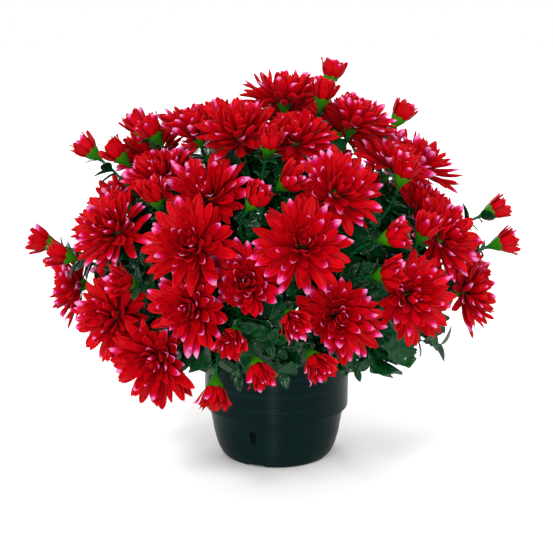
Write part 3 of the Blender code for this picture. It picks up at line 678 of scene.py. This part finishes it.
def leaf_grid(foot, along, normal, length, half_width, draw):
    """The points of a lobed leaf: quilted between its veins, folded at its rib and arched to its tip."""
    s = np.linspace(0, 1, LEAF_ROWS)[:, None]
    lane = np.linspace(-1, 1, LEAF_COLUMNS)[None]
    envelope = 0.10 + 0.90 * np.sin(pi * s ** 0.85) ** 0.75
    lobes = np.cos(2 * pi * LEAF_LOBES * (s - 0.10))
    width = envelope * (1 + 0.22 * lobes * np.abs(lane) ** 2)
    teeth = 0.025 * np.where(np.arange(LEAF_ROWS) % 2, 1, -1)[:, None] * (np.abs(lane) == 1)
    swept = s + 0.11 * np.abs(lane) * np.sin(pi * s)
    droop = draw.uniform(0.12, 0.30)
    fold = draw.uniform(0.10, 0.38)
    quilt = 0.10 * half_width * np.cos(2 * pi * LEAF_LOBES * (s - 0.10 - 0.16 * np.abs(lane)))
    rise = fold * np.abs(lane) * half_width * envelope - droop * s ** 2 * length
    rise = rise - quilt * np.sin(pi * s) * np.minimum(1, 2.2 * np.abs(lane))
    wave = draw.uniform(0.02, 0.10) * half_width * np.sin(2 * pi * (1.3 * s + draw.random())) * lane
    wide = half_width * (width + teeth) * lane
    return laid_out(foot, along, normal, swept * length, wide, rise + wave)


def oval_grid(foot, along, normal, length, half_width, fold):
    """The points of a small oval leaf with a folded rib and a tip that bends back."""
    s = np.linspace(0, 1, OVAL_ROWS)[:, None]
    lane = np.linspace(-1, 1, OVAL_COLUMNS)[None]
    width = 0.12 + 0.88 * np.sin(pi * s ** 0.8) ** 0.8
    wide = half_width * width * lane
    rise = fold * half_width * np.abs(lane) * width - 0.18 * length * s ** 2
    return laid_out(foot, along, normal, s * length, wide, rise)


def grow_leaf(patches, room, foot, along, facing, scale, draw, stalk=STALK, lowest=LEAF_LOWEST):
    """Adds a lobed leaf on a stalk, rolled and then shrunk until it has room, or none."""
    length = LEAF_LENGTH * draw.uniform(0.80, 1.12) * scale
    half_width = LEAF_HALF_WIDTH * draw.uniform(0.85, 1.12) * scale
    seed = draw.random()
    tone = draw.random()
    for shrink, roll in itertools.product(LEAF_SHRINKS, LEAF_ROLLS):
        normal = facing.copy()
        normal.rotate(Quaternion(along, radians(roll)))
        grid = leaf_grid(foot, along, normal, length * shrink, half_width * shrink, random.Random(seed))
        if room.holds(grid.reshape(-1, 3), lowest):
            patches.add(grid, 0.0, tone)
            joint = room.nearest_joint(foot)
            path = (joint, joint.lerp(foot, 0.5), foot, foot + along * STALK_TIP)
            tube(patches, path, stalk, STALK_SIDES)
            return


def leaf_directions(stem, count, draw):
    """Directions spread evenly over a stem's part of the crown, in a random order."""
    found = []
    tries = 0
    spread, sines, area = LEAVES_ABOVE if stem.is_top else LEAVES_BELOW
    while len(found) < count and tries < MOST_TRIES:
        tries += 1
        azimuth = stem.azimuth + draw.uniform(-spread, spread)
        way = unit(azimuth, math.degrees(math.asin(draw.uniform(*sines))))
        apart = 0.9 * math.sqrt(area / count) * 0.999 ** tries
        if carries(stem, way) and all(way.angle(other) > apart for other in found):
            found.append(way)
    return found


def add_leaves(patches, stem, room, draw):
    """The large leaves between a stem's blooms, each on a stalk, and the low ones round the pot's rim."""
    ways = leaf_directions(stem, LEAVES_AT_TOP if stem.is_top else LEAVES_A_STEM, draw)
    spots = [(way, draw.uniform(*LEAF_SHARES)) for way in ways]
    spots += [(way, draw.uniform(*CORE_SHARES)) for way in leaf_directions(stem, CORE_LEAVES, draw)]
    for way, share in spots:
        tangent = around(*frame_of(way), draw.uniform(0, 2 * pi))
        along = (way * draw.uniform(0.0, 0.9) + tangent * 0.8).normalized()
        facing = (way + Vector((0, 0, 0.25)) - tangent * 0.2).normalized()
        grow_leaf(patches, room, on_crown(way, share), along, facing, draw.uniform(0.80, 1.10), draw)
    if stem.is_top:
        return
    for leaf in HANGING:
        foot = Vector(leaf.foot)
        along, facing = Vector(leaf.along).normalized(), Vector(leaf.facing).normalized()
        if carries(stem, (foot - CENTRE).normalized()):
            grow_leaf(patches, room, foot, along, facing, leaf.scale, draw, RIM_STALK, HANGING_LOWEST)
    for low in SKIRT:
        foot = on_crown(unit(stem.azimuth + low.turn, low.elevation), low.share)
        along = (unit(stem.azimuth + low.turn * 1.5, 0) - Vector((0, 0, low.droop))).normalized()
        facing = (unit(stem.azimuth, 0) * 0.8 + Vector((0, 0, 0.6))).normalized()
        grow_leaf(patches, room, foot, along, facing, SKIRT_SCALE, draw, RIM_STALK)


def add_sprays(patches, stem, room, draw):
    """Thin side shoots with small oval leaves in pairs, between the large leaves."""
    for way in leaf_directions(stem, SPRAYS_A_STEM, draw):
        start = on_crown(way, SPRAY_FOOT)
        end = on_crown(way, draw.uniform(*SPRAY_TIPS))
        if not room.holds(np.array([start.lerp(end, share) for share in (0, 0.5, 0.75, 1)])):
            end = on_crown(way, SHORT_SPRAY_TIP)
        if not room.holds(np.array((start, end))):
            continue
        joint = room.nearest_joint(start)
        tube(patches, (joint, joint.lerp(start, 0.5), start, end), (*STALK[:3], 0.0006), STALK_SIDES)
        side, up = frame_of(way)
        for k in range(SPRAY_LEAVES):
            foot = start.lerp(end, 0.35 + 0.09 * k)
            along = (way * draw.uniform(0.35, 0.9) + around(side, up, k * GOLDEN_TURN)).normalized()
            add_small_leaf(patches, foot, along, way, draw, room.holds)


def add_small_leaf(patches, foot, along, way, draw, fits):
    """Adds an oval leaf, shrunk until it fits, or none."""
    length = draw.uniform(*SMALL_LENGTHS)
    half_width = length * draw.uniform(0.26, 0.33)
    normal = (way * 1.2 - along * along.dot(way)).normalized()
    fold = draw.uniform(0.15, 0.5)
    tone = draw.random()
    for shrink in SMALL_SHRINKS:
        grid = oval_grid(foot, along, normal, length * shrink, half_width * shrink, fold)
        if fits(grid.reshape(-1, 3)):
            patches.add(grid, 0.0, tone)
            return


def add_calyx(patches, head, rows, lobes, draw):
    """A green cup of these (height, radius) rows under a bud or bloom, whose rim ends in short lobes."""
    seat, side, up, axis = arrays_of(head)
    turns = turns_of(4 * lobes) + draw.random()
    scallop = (0.5 + 0.5 * np.cos(lobes * turns)) ** 0.7
    grid = []
    for k, (height, radius) in enumerate(rows):
        share = k / (len(rows) - 1)
        swell = radius * (1 + 0.05 * share * np.cos(lobes * turns))
        climb = height + 0.0022 * share ** 4 * scallop
        ring = np.outer(np.cos(turns) * swell, side) + np.outer(np.sin(turns) * swell, up)
        grid.append(seat + ring + np.outer(climb, axis))
    patches.add(np.array(grid), 1.0, draw.random(), 2, closed=True)


def add_bud_green(patches, leaves, head, bound, walls, draw):
    """A bud's calyx, and the small leaves on the shoot below it."""
    def fits(points):
        inside = all((points @ np.array(wall) < -WEDGE_MARGIN).all() for wall in walls)
        return inside and are_clear(points, bound)

    add_calyx(patches, head, BUD_CALYX, 7, draw)
    side, up = frame_of(head.axis)
    for k in range(BUD_LEAVES):
        foot = head.seat - head.axis * draw.uniform(0.003, 0.024)
        out = around(side, up, k * GOLDEN_TURN + draw.uniform(-0.3, 0.3))
        along = (head.axis * draw.uniform(0.3, 1.0) + out).normalized()
        add_small_leaf(leaves, foot, along, head.axis, draw, fits)


def build_stem(name, stem, heads, bounds, finishes):
    """A leafy stem: leaves in one piece, standing shoot, branches and calyx cups in another, bud petals in
    a third.
    """
    draw = random.Random(name)
    carried = sorted((head for head in heads if carries(stem, head.way)), key=lambda head: head.way.z)
    foot = stem.base + Vector((0, 0, STEM_FOOT))
    rise = stem.base + Vector((0, 0, POT_HEIGHT))
    green, petals, shoots = Patches(), Patches(), Patches()
    tube(shoots, (foot, foot.lerp(rise, 0.5), rise, rise.lerp(stem.fork, 0.5), stem.fork), STEM_RADII, 10)
    joints = [rise.lerp(stem.fork, share) for share in (0.1, 0.4, 0.7)]
    for k, head in enumerate(carried):
        start = rise.lerp(stem.fork, FIRST_BRANCH + (1 - FIRST_BRANCH) * k / (len(carried) - 1))
        knee = knee_of(head)
        joints.append(start.lerp(knee, 0.6))
        seat = head.seat - head.axis * SEAT_GAP
        neck = seat - head.axis * NECK_LENGTH
        tube(shoots, bent_path(start, knee, neck, 9), np.linspace(*BRANCH_RADII, 9), 8)
        if head.kind == "bud":
            add_bud_green(shoots, green, head, bounds[head], stem.walls, draw)
            tube(shoots, (neck, seat), BRANCH_RADII[::-1], 8)
            add_bud_petals(petals, head, draw)
        else:
            add_calyx(shoots, head, BLOOM_CALYX, 5, draw)
    room = Room(stem, heads, joints)
    add_leaves(green, stem, room, draw)
    add_sprays(green, stem, room, draw)
    made = [green.made(name + "_leaves", finishes, LEAF_THICKNESS), shoots.made(name + "_shoots", finishes)]
    for piece in made:
        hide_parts(name)
    if petals.size:
        buds = petals.made(name + "_buds", [finishes[3]], PETAL_THICKNESS)
        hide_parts(name)
        made.append(buds)
    return made


def object_from(bm, name):
    mesh = bpy.data.meshes.new(name)
    bm.to_mesh(mesh)
    bm.free()
    return linked(name, mesh)


def turned(name, profile, segments):
    """A solid turned from a profile that starts and ends on the axis."""
    bm = bmesh.new()
    points = [bm.verts.new((radius, 0.0, height)) for radius, height in profile]
    for first, second in zip(points, points[1:]):
        bm.edges.new((first, second))
    bmesh.ops.spin(bm, geom=bm.verts[:] + bm.edges[:], axis=(0, 0, 1), cent=(0, 0, 0),
                   angle=2 * pi, steps=segments, use_merge=True)
    bmesh.ops.remove_doubles(bm, verts=bm.verts[:], dist=0.00001)
    bmesh.ops.recalc_face_normals(bm, faces=bm.faces[:])
    return object_from(bm, name)


def cut_away(body, cutters):
    """Cuts the cutters out of the body and removes them."""
    for cutter in cutters:
        made = body.modifiers.new("cut", "BOOLEAN")
        made.operation = "DIFFERENCE"
        made.object = cutter
    graph = bpy.context.evaluated_depsgraph_get()
    mesh = bpy.data.meshes.new_from_object(body.evaluated_get(graph))
    body.modifiers.clear()
    body.data = mesh
    for cutter in cutters:
        bpy.data.objects.remove(cutter)


def cutter_from(bm, place, azimuth):
    made = object_from(bm, "cutter")
    made.location = place
    made.rotation_euler = (0, 0, radians(azimuth))
    return made


def box_cutter(size, place, azimuth):
    bm = bmesh.new()
    bmesh.ops.create_cube(bm, size=1.0)
    bmesh.ops.scale(bm, verts=bm.verts[:], vec=size)
    bmesh.ops.bevel(bm, geom=bm.edges[:], offset=min(size) * 0.12, segments=2, affect="EDGES")
    return cutter_from(bm, place, azimuth)


def rod_cutter(radius, low, high, place):
    bm = bmesh.new()
    bmesh.ops.create_cone(bm, segments=32, radius1=radius, radius2=radius, depth=high - low, cap_ends=True)
    return cutter_from(bm, Vector((place.x, place.y, (low + high) / 2)), 0)


def build_pot(finish):
    pot = turned("pot_moulded", POT_INSIDE + POT_OUTSIDE, POT_SEGMENTS)
    cutters = []
    for k in range(NOTCHES):
        azimuth = FIRST_NOTCH_AZIMUTH + 360 / NOTCHES * k
        cutters.append(box_cutter(NOTCH_SIZE, unit(azimuth, 0) * FOOT_RADIUS, azimuth))
    for azimuth in SLOT_AZIMUTHS:
        depth = SLOT_WALL - SLOT_DEPTH + SLOT_SIZE[1] / 2
        place = unit(azimuth, 0) * depth + Vector((0, 0, SLOT_HEIGHT))
        cutters.append(box_cutter(SLOT_SIZE, place, azimuth))
    for k in range(DRAIN_HOLES):
        place = unit(360 / DRAIN_HOLES * (k + 0.5), 0) * DRAIN_CIRCLE
        cutters.append(rod_cutter(DRAIN_RADIUS, *DRAIN_REACH, place))
    cut_away(pot, cutters)
    pot.data.materials.clear()
    pot.data.materials.append(finish)
    pot.data.shade_smooth()
    pot.data.set_sharp_from_angle(angle=radians(SHARP_ANGLE))
    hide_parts("pot")
    return pot


def build_soil(finish):
    """The soil: a plug inside the pot with a crumbly, slightly domed top."""
    turns = turns_of(SOIL_TURNS)
    rows = []
    for radius, height in ((SOIL_MIDDLE, 0.0070), *SOIL_SIDE, (SOIL_EDGE[0], SOIL_EDGE[1] - 0.003)):
        rows.append([(radius * cos(t), radius * sin(t), height) for t in turns])
    for k in range(SOIL_RINGS):
        share = 1 - k / (SOIL_RINGS - 1)
        radius = max(SOIL_MIDDLE, SOIL_EDGE[0] * share)
        height = SOIL_EDGE[1] + (SOIL_CROWN - SOIL_EDGE[1]) * (1 - share ** 2)
        spots = [Vector((radius * cos(t), radius * sin(t), height)) for t in turns]
        crumbs = [noise.fractal(spot * 90, 0.8, 2.2, 4) * CRUMB_HEIGHT for spot in spots]
        rows.append([(spot.x, spot.y, height + crumb) for spot, crumb in zip(spots, crumbs)])
    patches = Patches()
    patches.add(np.array(rows), closed=True)
    soil = patches.made("soil_crumbs", [finish])
    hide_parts("soil")
    return soil


class Nodes:
    """A material's node tree, with short ways to add and link nodes."""

    def __init__(self, name):
        self.material = bpy.data.materials.new(name)
        self.material.use_nodes = True
        self.tree = self.material.node_tree
        self.shader = self.tree.nodes["Principled BSDF"]

    def put(self, socket, value):
        if isinstance(value, bpy.types.NodeSocket):
            self.tree.links.new(value, socket)
        else:
            socket.default_value = value

    def fill(self, node, values):
        for name, value in values.items():
            self.put(node.inputs[name.replace("_", " ")], value)

    def set(self, **values):
        self.fill(self.shader, values)

    def new(self, kind, **values):
        """A node of this kind, with these inputs."""
        node = self.tree.nodes.new("ShaderNode" + kind)
        self.fill(node, values)
        return node

    def math(self, operation, *values):
        node = self.new("Math")
        node.operation = operation
        for socket, value in zip(node.inputs, values):
            self.put(socket, value)
        return node.outputs[0]

    def ramp(self, value, low, high, start=0.0, end=1.0):
        """The value, moved smoothly from the range low..high to start..end."""
        node = self.new("MapRange", Value=value, From_Min=low, From_Max=high, To_Min=start, To_Max=end)
        node.interpolation_type = "SMOOTHSTEP"
        return node.outputs["Result"]

    def mix(self, share, first, second):
        node = self.new("Mix")
        node.data_type = "RGBA"
        self.fill(node, {"Factor": share, "A": first, "B": second})
        return node.outputs["Result"]

    def noise(self, scale, detail=2.0, stretch=None):
        where = self.new("TexCoord").outputs["Object"]
        if stretch:
            where = self.new("Mapping", Scale=stretch, Vector=where).outputs["Vector"]
        return self.new("TexNoise", Vector=where, Scale=scale, Detail=detail).outputs["Fac"]

    def look(self):
        """The place along and across a petal or leaf, its tint and its tone."""
        found = self.new("Attribute")
        found.attribute_name = "look"
        parts = self.new("SeparateColor", Color=found.outputs["Color"])
        return (*parts.outputs, found.outputs["Alpha"])

    def off_middle(self, across):
        """0 along the middle of a petal or leaf and 1 at its sides."""
        return self.math("ABSOLUTE", self.math("MULTIPLY_ADD", across, 2.0, -1.0))

    def bump(self, height, strength, distance):
        node = self.new("Bump", Height=height, Strength=strength, Distance=distance)
        self.set(Normal=node.outputs["Normal"])


def petal_finish():
    """Satin cloth, deep red at the foot of each petal (partly dye, partly painted shade), with rose tips
    brushed on some of them.
    """
    nodes = Nodes("petal_cloth")
    along, across, tint, tone = nodes.look()
    middle = nodes.off_middle(across)
    red = nodes.mix(tone, (0.26, 0.0, 0.0015, 1), (0.35, 0.0, 0.0035, 1))
    # darker crimson towards the foot of each petal: partly dye, partly painted shade where the petals meet
    # the dome
    red = nodes.mix(nodes.ramp(along, 0.0, 0.55, 0.75, 0.0), red, (0.17, 0.0, 0.001, 1))
    uneven = nodes.math("MULTIPLY_ADD", nodes.noise(260.0), 0.22, -0.11)
    start = nodes.math("MULTIPLY_ADD", tint, -0.44, 1.0)
    brushed = nodes.math("ADD", nodes.math("MULTIPLY_ADD", middle, -0.10, along), uneven)
    past = nodes.math("SUBTRACT", brushed, start)
    has_rose = nodes.ramp(tint, 0.3, 0.5)
    halo = nodes.math("MULTIPLY", nodes.ramp(past, -0.06, 0.12), has_rose)
    heart = nodes.math("MULTIPLY", nodes.ramp(past, 0.06, 0.24), has_rose)
    rose = nodes.mix(heart, (0.42, 0.004, 0.09, 1), (0.50, 0.15, 0.31, 1))
    nodes.set(Base_Color=nodes.mix(halo, red, rose), Roughness=0.50, Specular_IOR_Level=0.05)
    nodes.set(Sheen_Weight=0.04, Sheen_Roughness=0.35, Sheen_Tint=(1.0, 0.10, 0.15, 1))
    threads = nodes.math("SINE", nodes.math("MULTIPLY", across, 75.0))
    nodes.bump(nodes.math("ADD", nodes.math("MULTIPLY", threads, 0.35), nodes.noise(900.0)), 0.20, 0.0002)
    return nodes.material


def leaf_finish():
    """Glossy moulded leaf, with a pale rib, side veins and a mottled green."""
    nodes = Nodes("leaf_gloss")
    along, across, _, tone = nodes.look()
    middle = nodes.off_middle(across)
    green = nodes.mix(tone, (0.0003, 0.011, 0.0030, 1), (0.001, 0.037, 0.006, 1))
    green = nodes.mix(nodes.ramp(nodes.noise(70.0), 0.35, 0.70), green, (0.0005, 0.021, 0.007, 1))
    rib = nodes.ramp(middle, 0.0, 0.07, 1.0, 0.0)
    lanes = nodes.math("MULTIPLY_ADD", middle, -0.16, along)
    at_lobes = nodes.math("MULTIPLY", nodes.math("SUBTRACT", lanes, 0.10), 2 * pi * LEAF_LOBES)
    veins = nodes.ramp(nodes.math("COSINE", at_lobes), 0.90, 1.0)
    between = nodes.math("MULTIPLY", lanes, 2 * pi * (3 * LEAF_LOBES))
    fine = nodes.ramp(nodes.math("COSINE", between), 0.9, 1.0, 0.0, 0.4)
    veins = nodes.math("MAXIMUM", nodes.math("MAXIMUM", rib, veins), fine)
    nodes.set(Base_Color=nodes.mix(nodes.math("MULTIPLY", veins, 0.35), green, (0.005, 0.075, 0.012, 1)))
    nodes.set(Roughness=nodes.ramp(nodes.noise(120.0), 0.3, 0.7, 0.15, 0.24), Specular_IOR_Level=0.16)
    grain = nodes.math("MULTIPLY_ADD", nodes.noise(1400.0), 0.15, nodes.math("MULTIPLY", veins, -1.0))
    nodes.bump(grain, 0.45, 0.0004)
    return nodes.material


def shoot_finish():
    nodes = Nodes("shoot_green")
    green = nodes.mix(nodes.noise(60.0), (0.0006, 0.024, 0.006, 1), (0.0018, 0.048, 0.009, 1))
    nodes.set(Base_Color=green, Roughness=0.30, Specular_IOR_Level=0.10)
    nodes.bump(nodes.noise(700.0, stretch=(1, 1, 0.25)), 0.25, 0.0003)
    return nodes.material


def calyx_finish():
    """Lime green cups, paler at the rim."""
    nodes = Nodes("calyx_lime")
    along, across, _, tone = nodes.look()
    lime = nodes.mix(tone, (0.009, 0.080, 0.001, 1), (0.022, 0.120, 0.0015, 1))
    lime = nodes.mix(nodes.ramp(along, 0.0, 0.6, 0.9, 0.0), lime, (0.002, 0.045, 0.005, 1))
    nodes.set(Base_Color=lime, Roughness=0.36, Specular_IOR_Level=0.08)
    ribs = nodes.math("SINE", nodes.math("MULTIPLY", across, 2 * pi * 16))
    nodes.bump(ribs, 0.35, 0.0003)
    return nodes.material


def pot_finish():
    """Dark green plastic with faint turned rings, which spread its shine upright, a painted highlight along
    its mould lines and painted shade in its slots.
    """
    nodes = Nodes("pot_moulded_plastic")
    where = nodes.new("TexCoord").outputs["Object"]
    across, back, height = nodes.new("SeparateXYZ", Vector=where).outputs
    waver = nodes.math("MULTIPLY_ADD", nodes.noise(14.0), 0.0012, height)
    rings = nodes.math("SINE", nodes.math("MULTIPLY", waver, 1900.0))
    lines = 0.0
    for line in MOULD_LINES:
        off = nodes.math("ABSOLUTE", nodes.math("SUBTRACT", waver, line))
        lines = nodes.math("ADD", lines, nodes.ramp(off, 0.0002, 0.0008, 1.0, 0.0))
    # mask of the front slot, which gets painted shade below
    turn = radians(SLOT_AZIMUTHS[0])
    aside = nodes.math("MULTIPLY_ADD", across, cos(turn), nodes.math("MULTIPLY", back, sin(turn)))
    slot_shade_mask = nodes.ramp(nodes.math("ABSOLUTE", aside), *SLOT_SIDES, 1.0, 0.0)
    above = nodes.math("ABSOLUTE", nodes.math("SUBTRACT", height, SLOT_HEIGHT))
    slot_shade_mask = nodes.math("MULTIPLY", slot_shade_mask, nodes.ramp(above, *SLOT_ENDS, 1.0, 0.0))
    streaks = nodes.noise(22.0, 5.0, (1, 1, 9))
    colour = nodes.mix(streaks, (0.0003, 0.0045, 0.0046, 1), (0.0008, 0.0078, 0.0076, 1))
    # painted highlight: the mould lines are made lighter, as if their ridges caught the light; their relief
    # is the bump below
    colour = nodes.mix(nodes.math("MULTIPLY", lines, 0.5), colour, (0.002, 0.015, 0.015, 1))
    # painted shade: the slot is coloured nearly black, as if in shadow
    colour = nodes.mix(slot_shade_mask, colour, (0.0001, 0.0008, 0.0008, 1))
    roughness = nodes.ramp(streaks, 0.2, 0.8, 0.30, 0.40)
    nodes.set(Base_Color=colour, Roughness=roughness, Specular_IOR_Level=0.05)
    turning = nodes.new("Tangent")
    turning.direction_type = "RADIAL"
    turning.axis = "Z"
    nodes.set(Anisotropic=0.9, Anisotropic_Rotation=0.25, Tangent=turning.outputs[0])
    relief = nodes.math("MULTIPLY_ADD", lines, 2.0, rings)
    nodes.bump(nodes.math("MULTIPLY_ADD", nodes.noise(900.0), 0.3, relief), 0.16, 0.0002)
    return nodes.material


def soil_finish():
    nodes = Nodes("soil_crumbs")
    colour = nodes.mix(nodes.noise(500.0, 6.0), (0.010, 0.006, 0.004, 1), (0.075, 0.045, 0.028, 1))
    nodes.set(Base_Color=colour, Roughness=0.95, Specular_IOR_Level=0.2)
    nodes.bump(nodes.noise(900.0, 8.0), 0.9, 0.001)
    return nodes.material


def soft_sun(name, azimuth, elevation, strength, spread):
    """A broad, soft light from this direction."""
    lamp = bpy.data.lights.new(name, "SUN")
    lamp.energy = strength
    lamp.angle = radians(spread)
    linked(name, lamp).rotation_euler = unit(azimuth, elevation).to_track_quat("Z", "Y").to_euler()


def build_stage():
    """A wide pale floor under a white sky, with a light by the camera and softer ones round the object."""
    scene = bpy.context.scene
    mesh = bpy.data.meshes.new("floor")
    corners = [(x * FLOOR_REACH, y * FLOOR_REACH, 0.0) for x, y in ((-1, -1), (1, -1), (1, 1), (-1, 1))]
    mesh.from_pydata(corners, [], [(0, 1, 2, 3)])
    floor = linked("floor", mesh)
    nodes = Nodes("floor_paper")
    paper = nodes.mix(nodes.noise(3.0), (0.73, 0.73, 0.72, 1), (0.76, 0.76, 0.75, 1))
    nodes.set(Base_Color=paper, Roughness=0.9, Specular_IOR_Level=0.1)
    mesh.materials.append(nodes.material)
    world = bpy.data.worlds.new("studio")
    world.use_nodes = True
    sky = world.node_tree.nodes["Background"].inputs
    sky["Color"].default_value = (1, 1, 1, 1)
    sky["Strength"].default_value = 1.0
    scene.world = world
    for name, settings in SUNS.items():
        soft_sun(name, *settings)


def build_camera():
    scene = bpy.context.scene
    lens = bpy.data.cameras.new("camera")
    lens.lens = CAMERA_LENS
    lens.sensor_width = SENSOR
    camera = linked("camera", lens)
    camera.location = CAMERA_PLACE
    camera.rotation_euler = (radians(90 - CAMERA_PITCH), 0, 0)
    scene.camera = camera
    scene.view_settings.view_transform = "Standard"


def main():
    build_camera()
    build_stage()
    petal = petal_finish()
    finishes = [leaf_finish(), shoot_finish(), calyx_finish(), petal]
    pieces = [build_pot(pot_finish()), build_soil(soil_finish())]
    heads = flower_heads()
    bounds = bounds_round(heads)
    for k, stem in enumerate(leafy_stems()):
        name = "leafy_stem_top" if stem.is_top else f"leafy_stem_{k + 1:02d}"
        pieces += build_stem(name, stem, heads, bounds, finishes)
    blooms = [head for head in heads if head.kind == "bloom"]
    for k, head in enumerate(blooms):
        name = f"bloom_{k + 1:02d}"
        bloom = build_bloom(name + "_petals", head, bounds[head], petal)
        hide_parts(name)
        pieces.append(bloom)
    for piece in pieces:
        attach(piece, "root")


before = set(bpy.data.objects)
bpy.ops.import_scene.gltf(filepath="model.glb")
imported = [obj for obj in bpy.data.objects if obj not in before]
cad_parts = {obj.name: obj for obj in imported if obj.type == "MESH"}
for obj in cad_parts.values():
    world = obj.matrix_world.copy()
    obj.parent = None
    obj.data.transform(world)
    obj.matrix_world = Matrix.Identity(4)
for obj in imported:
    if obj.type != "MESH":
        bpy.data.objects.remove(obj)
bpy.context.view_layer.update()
main()
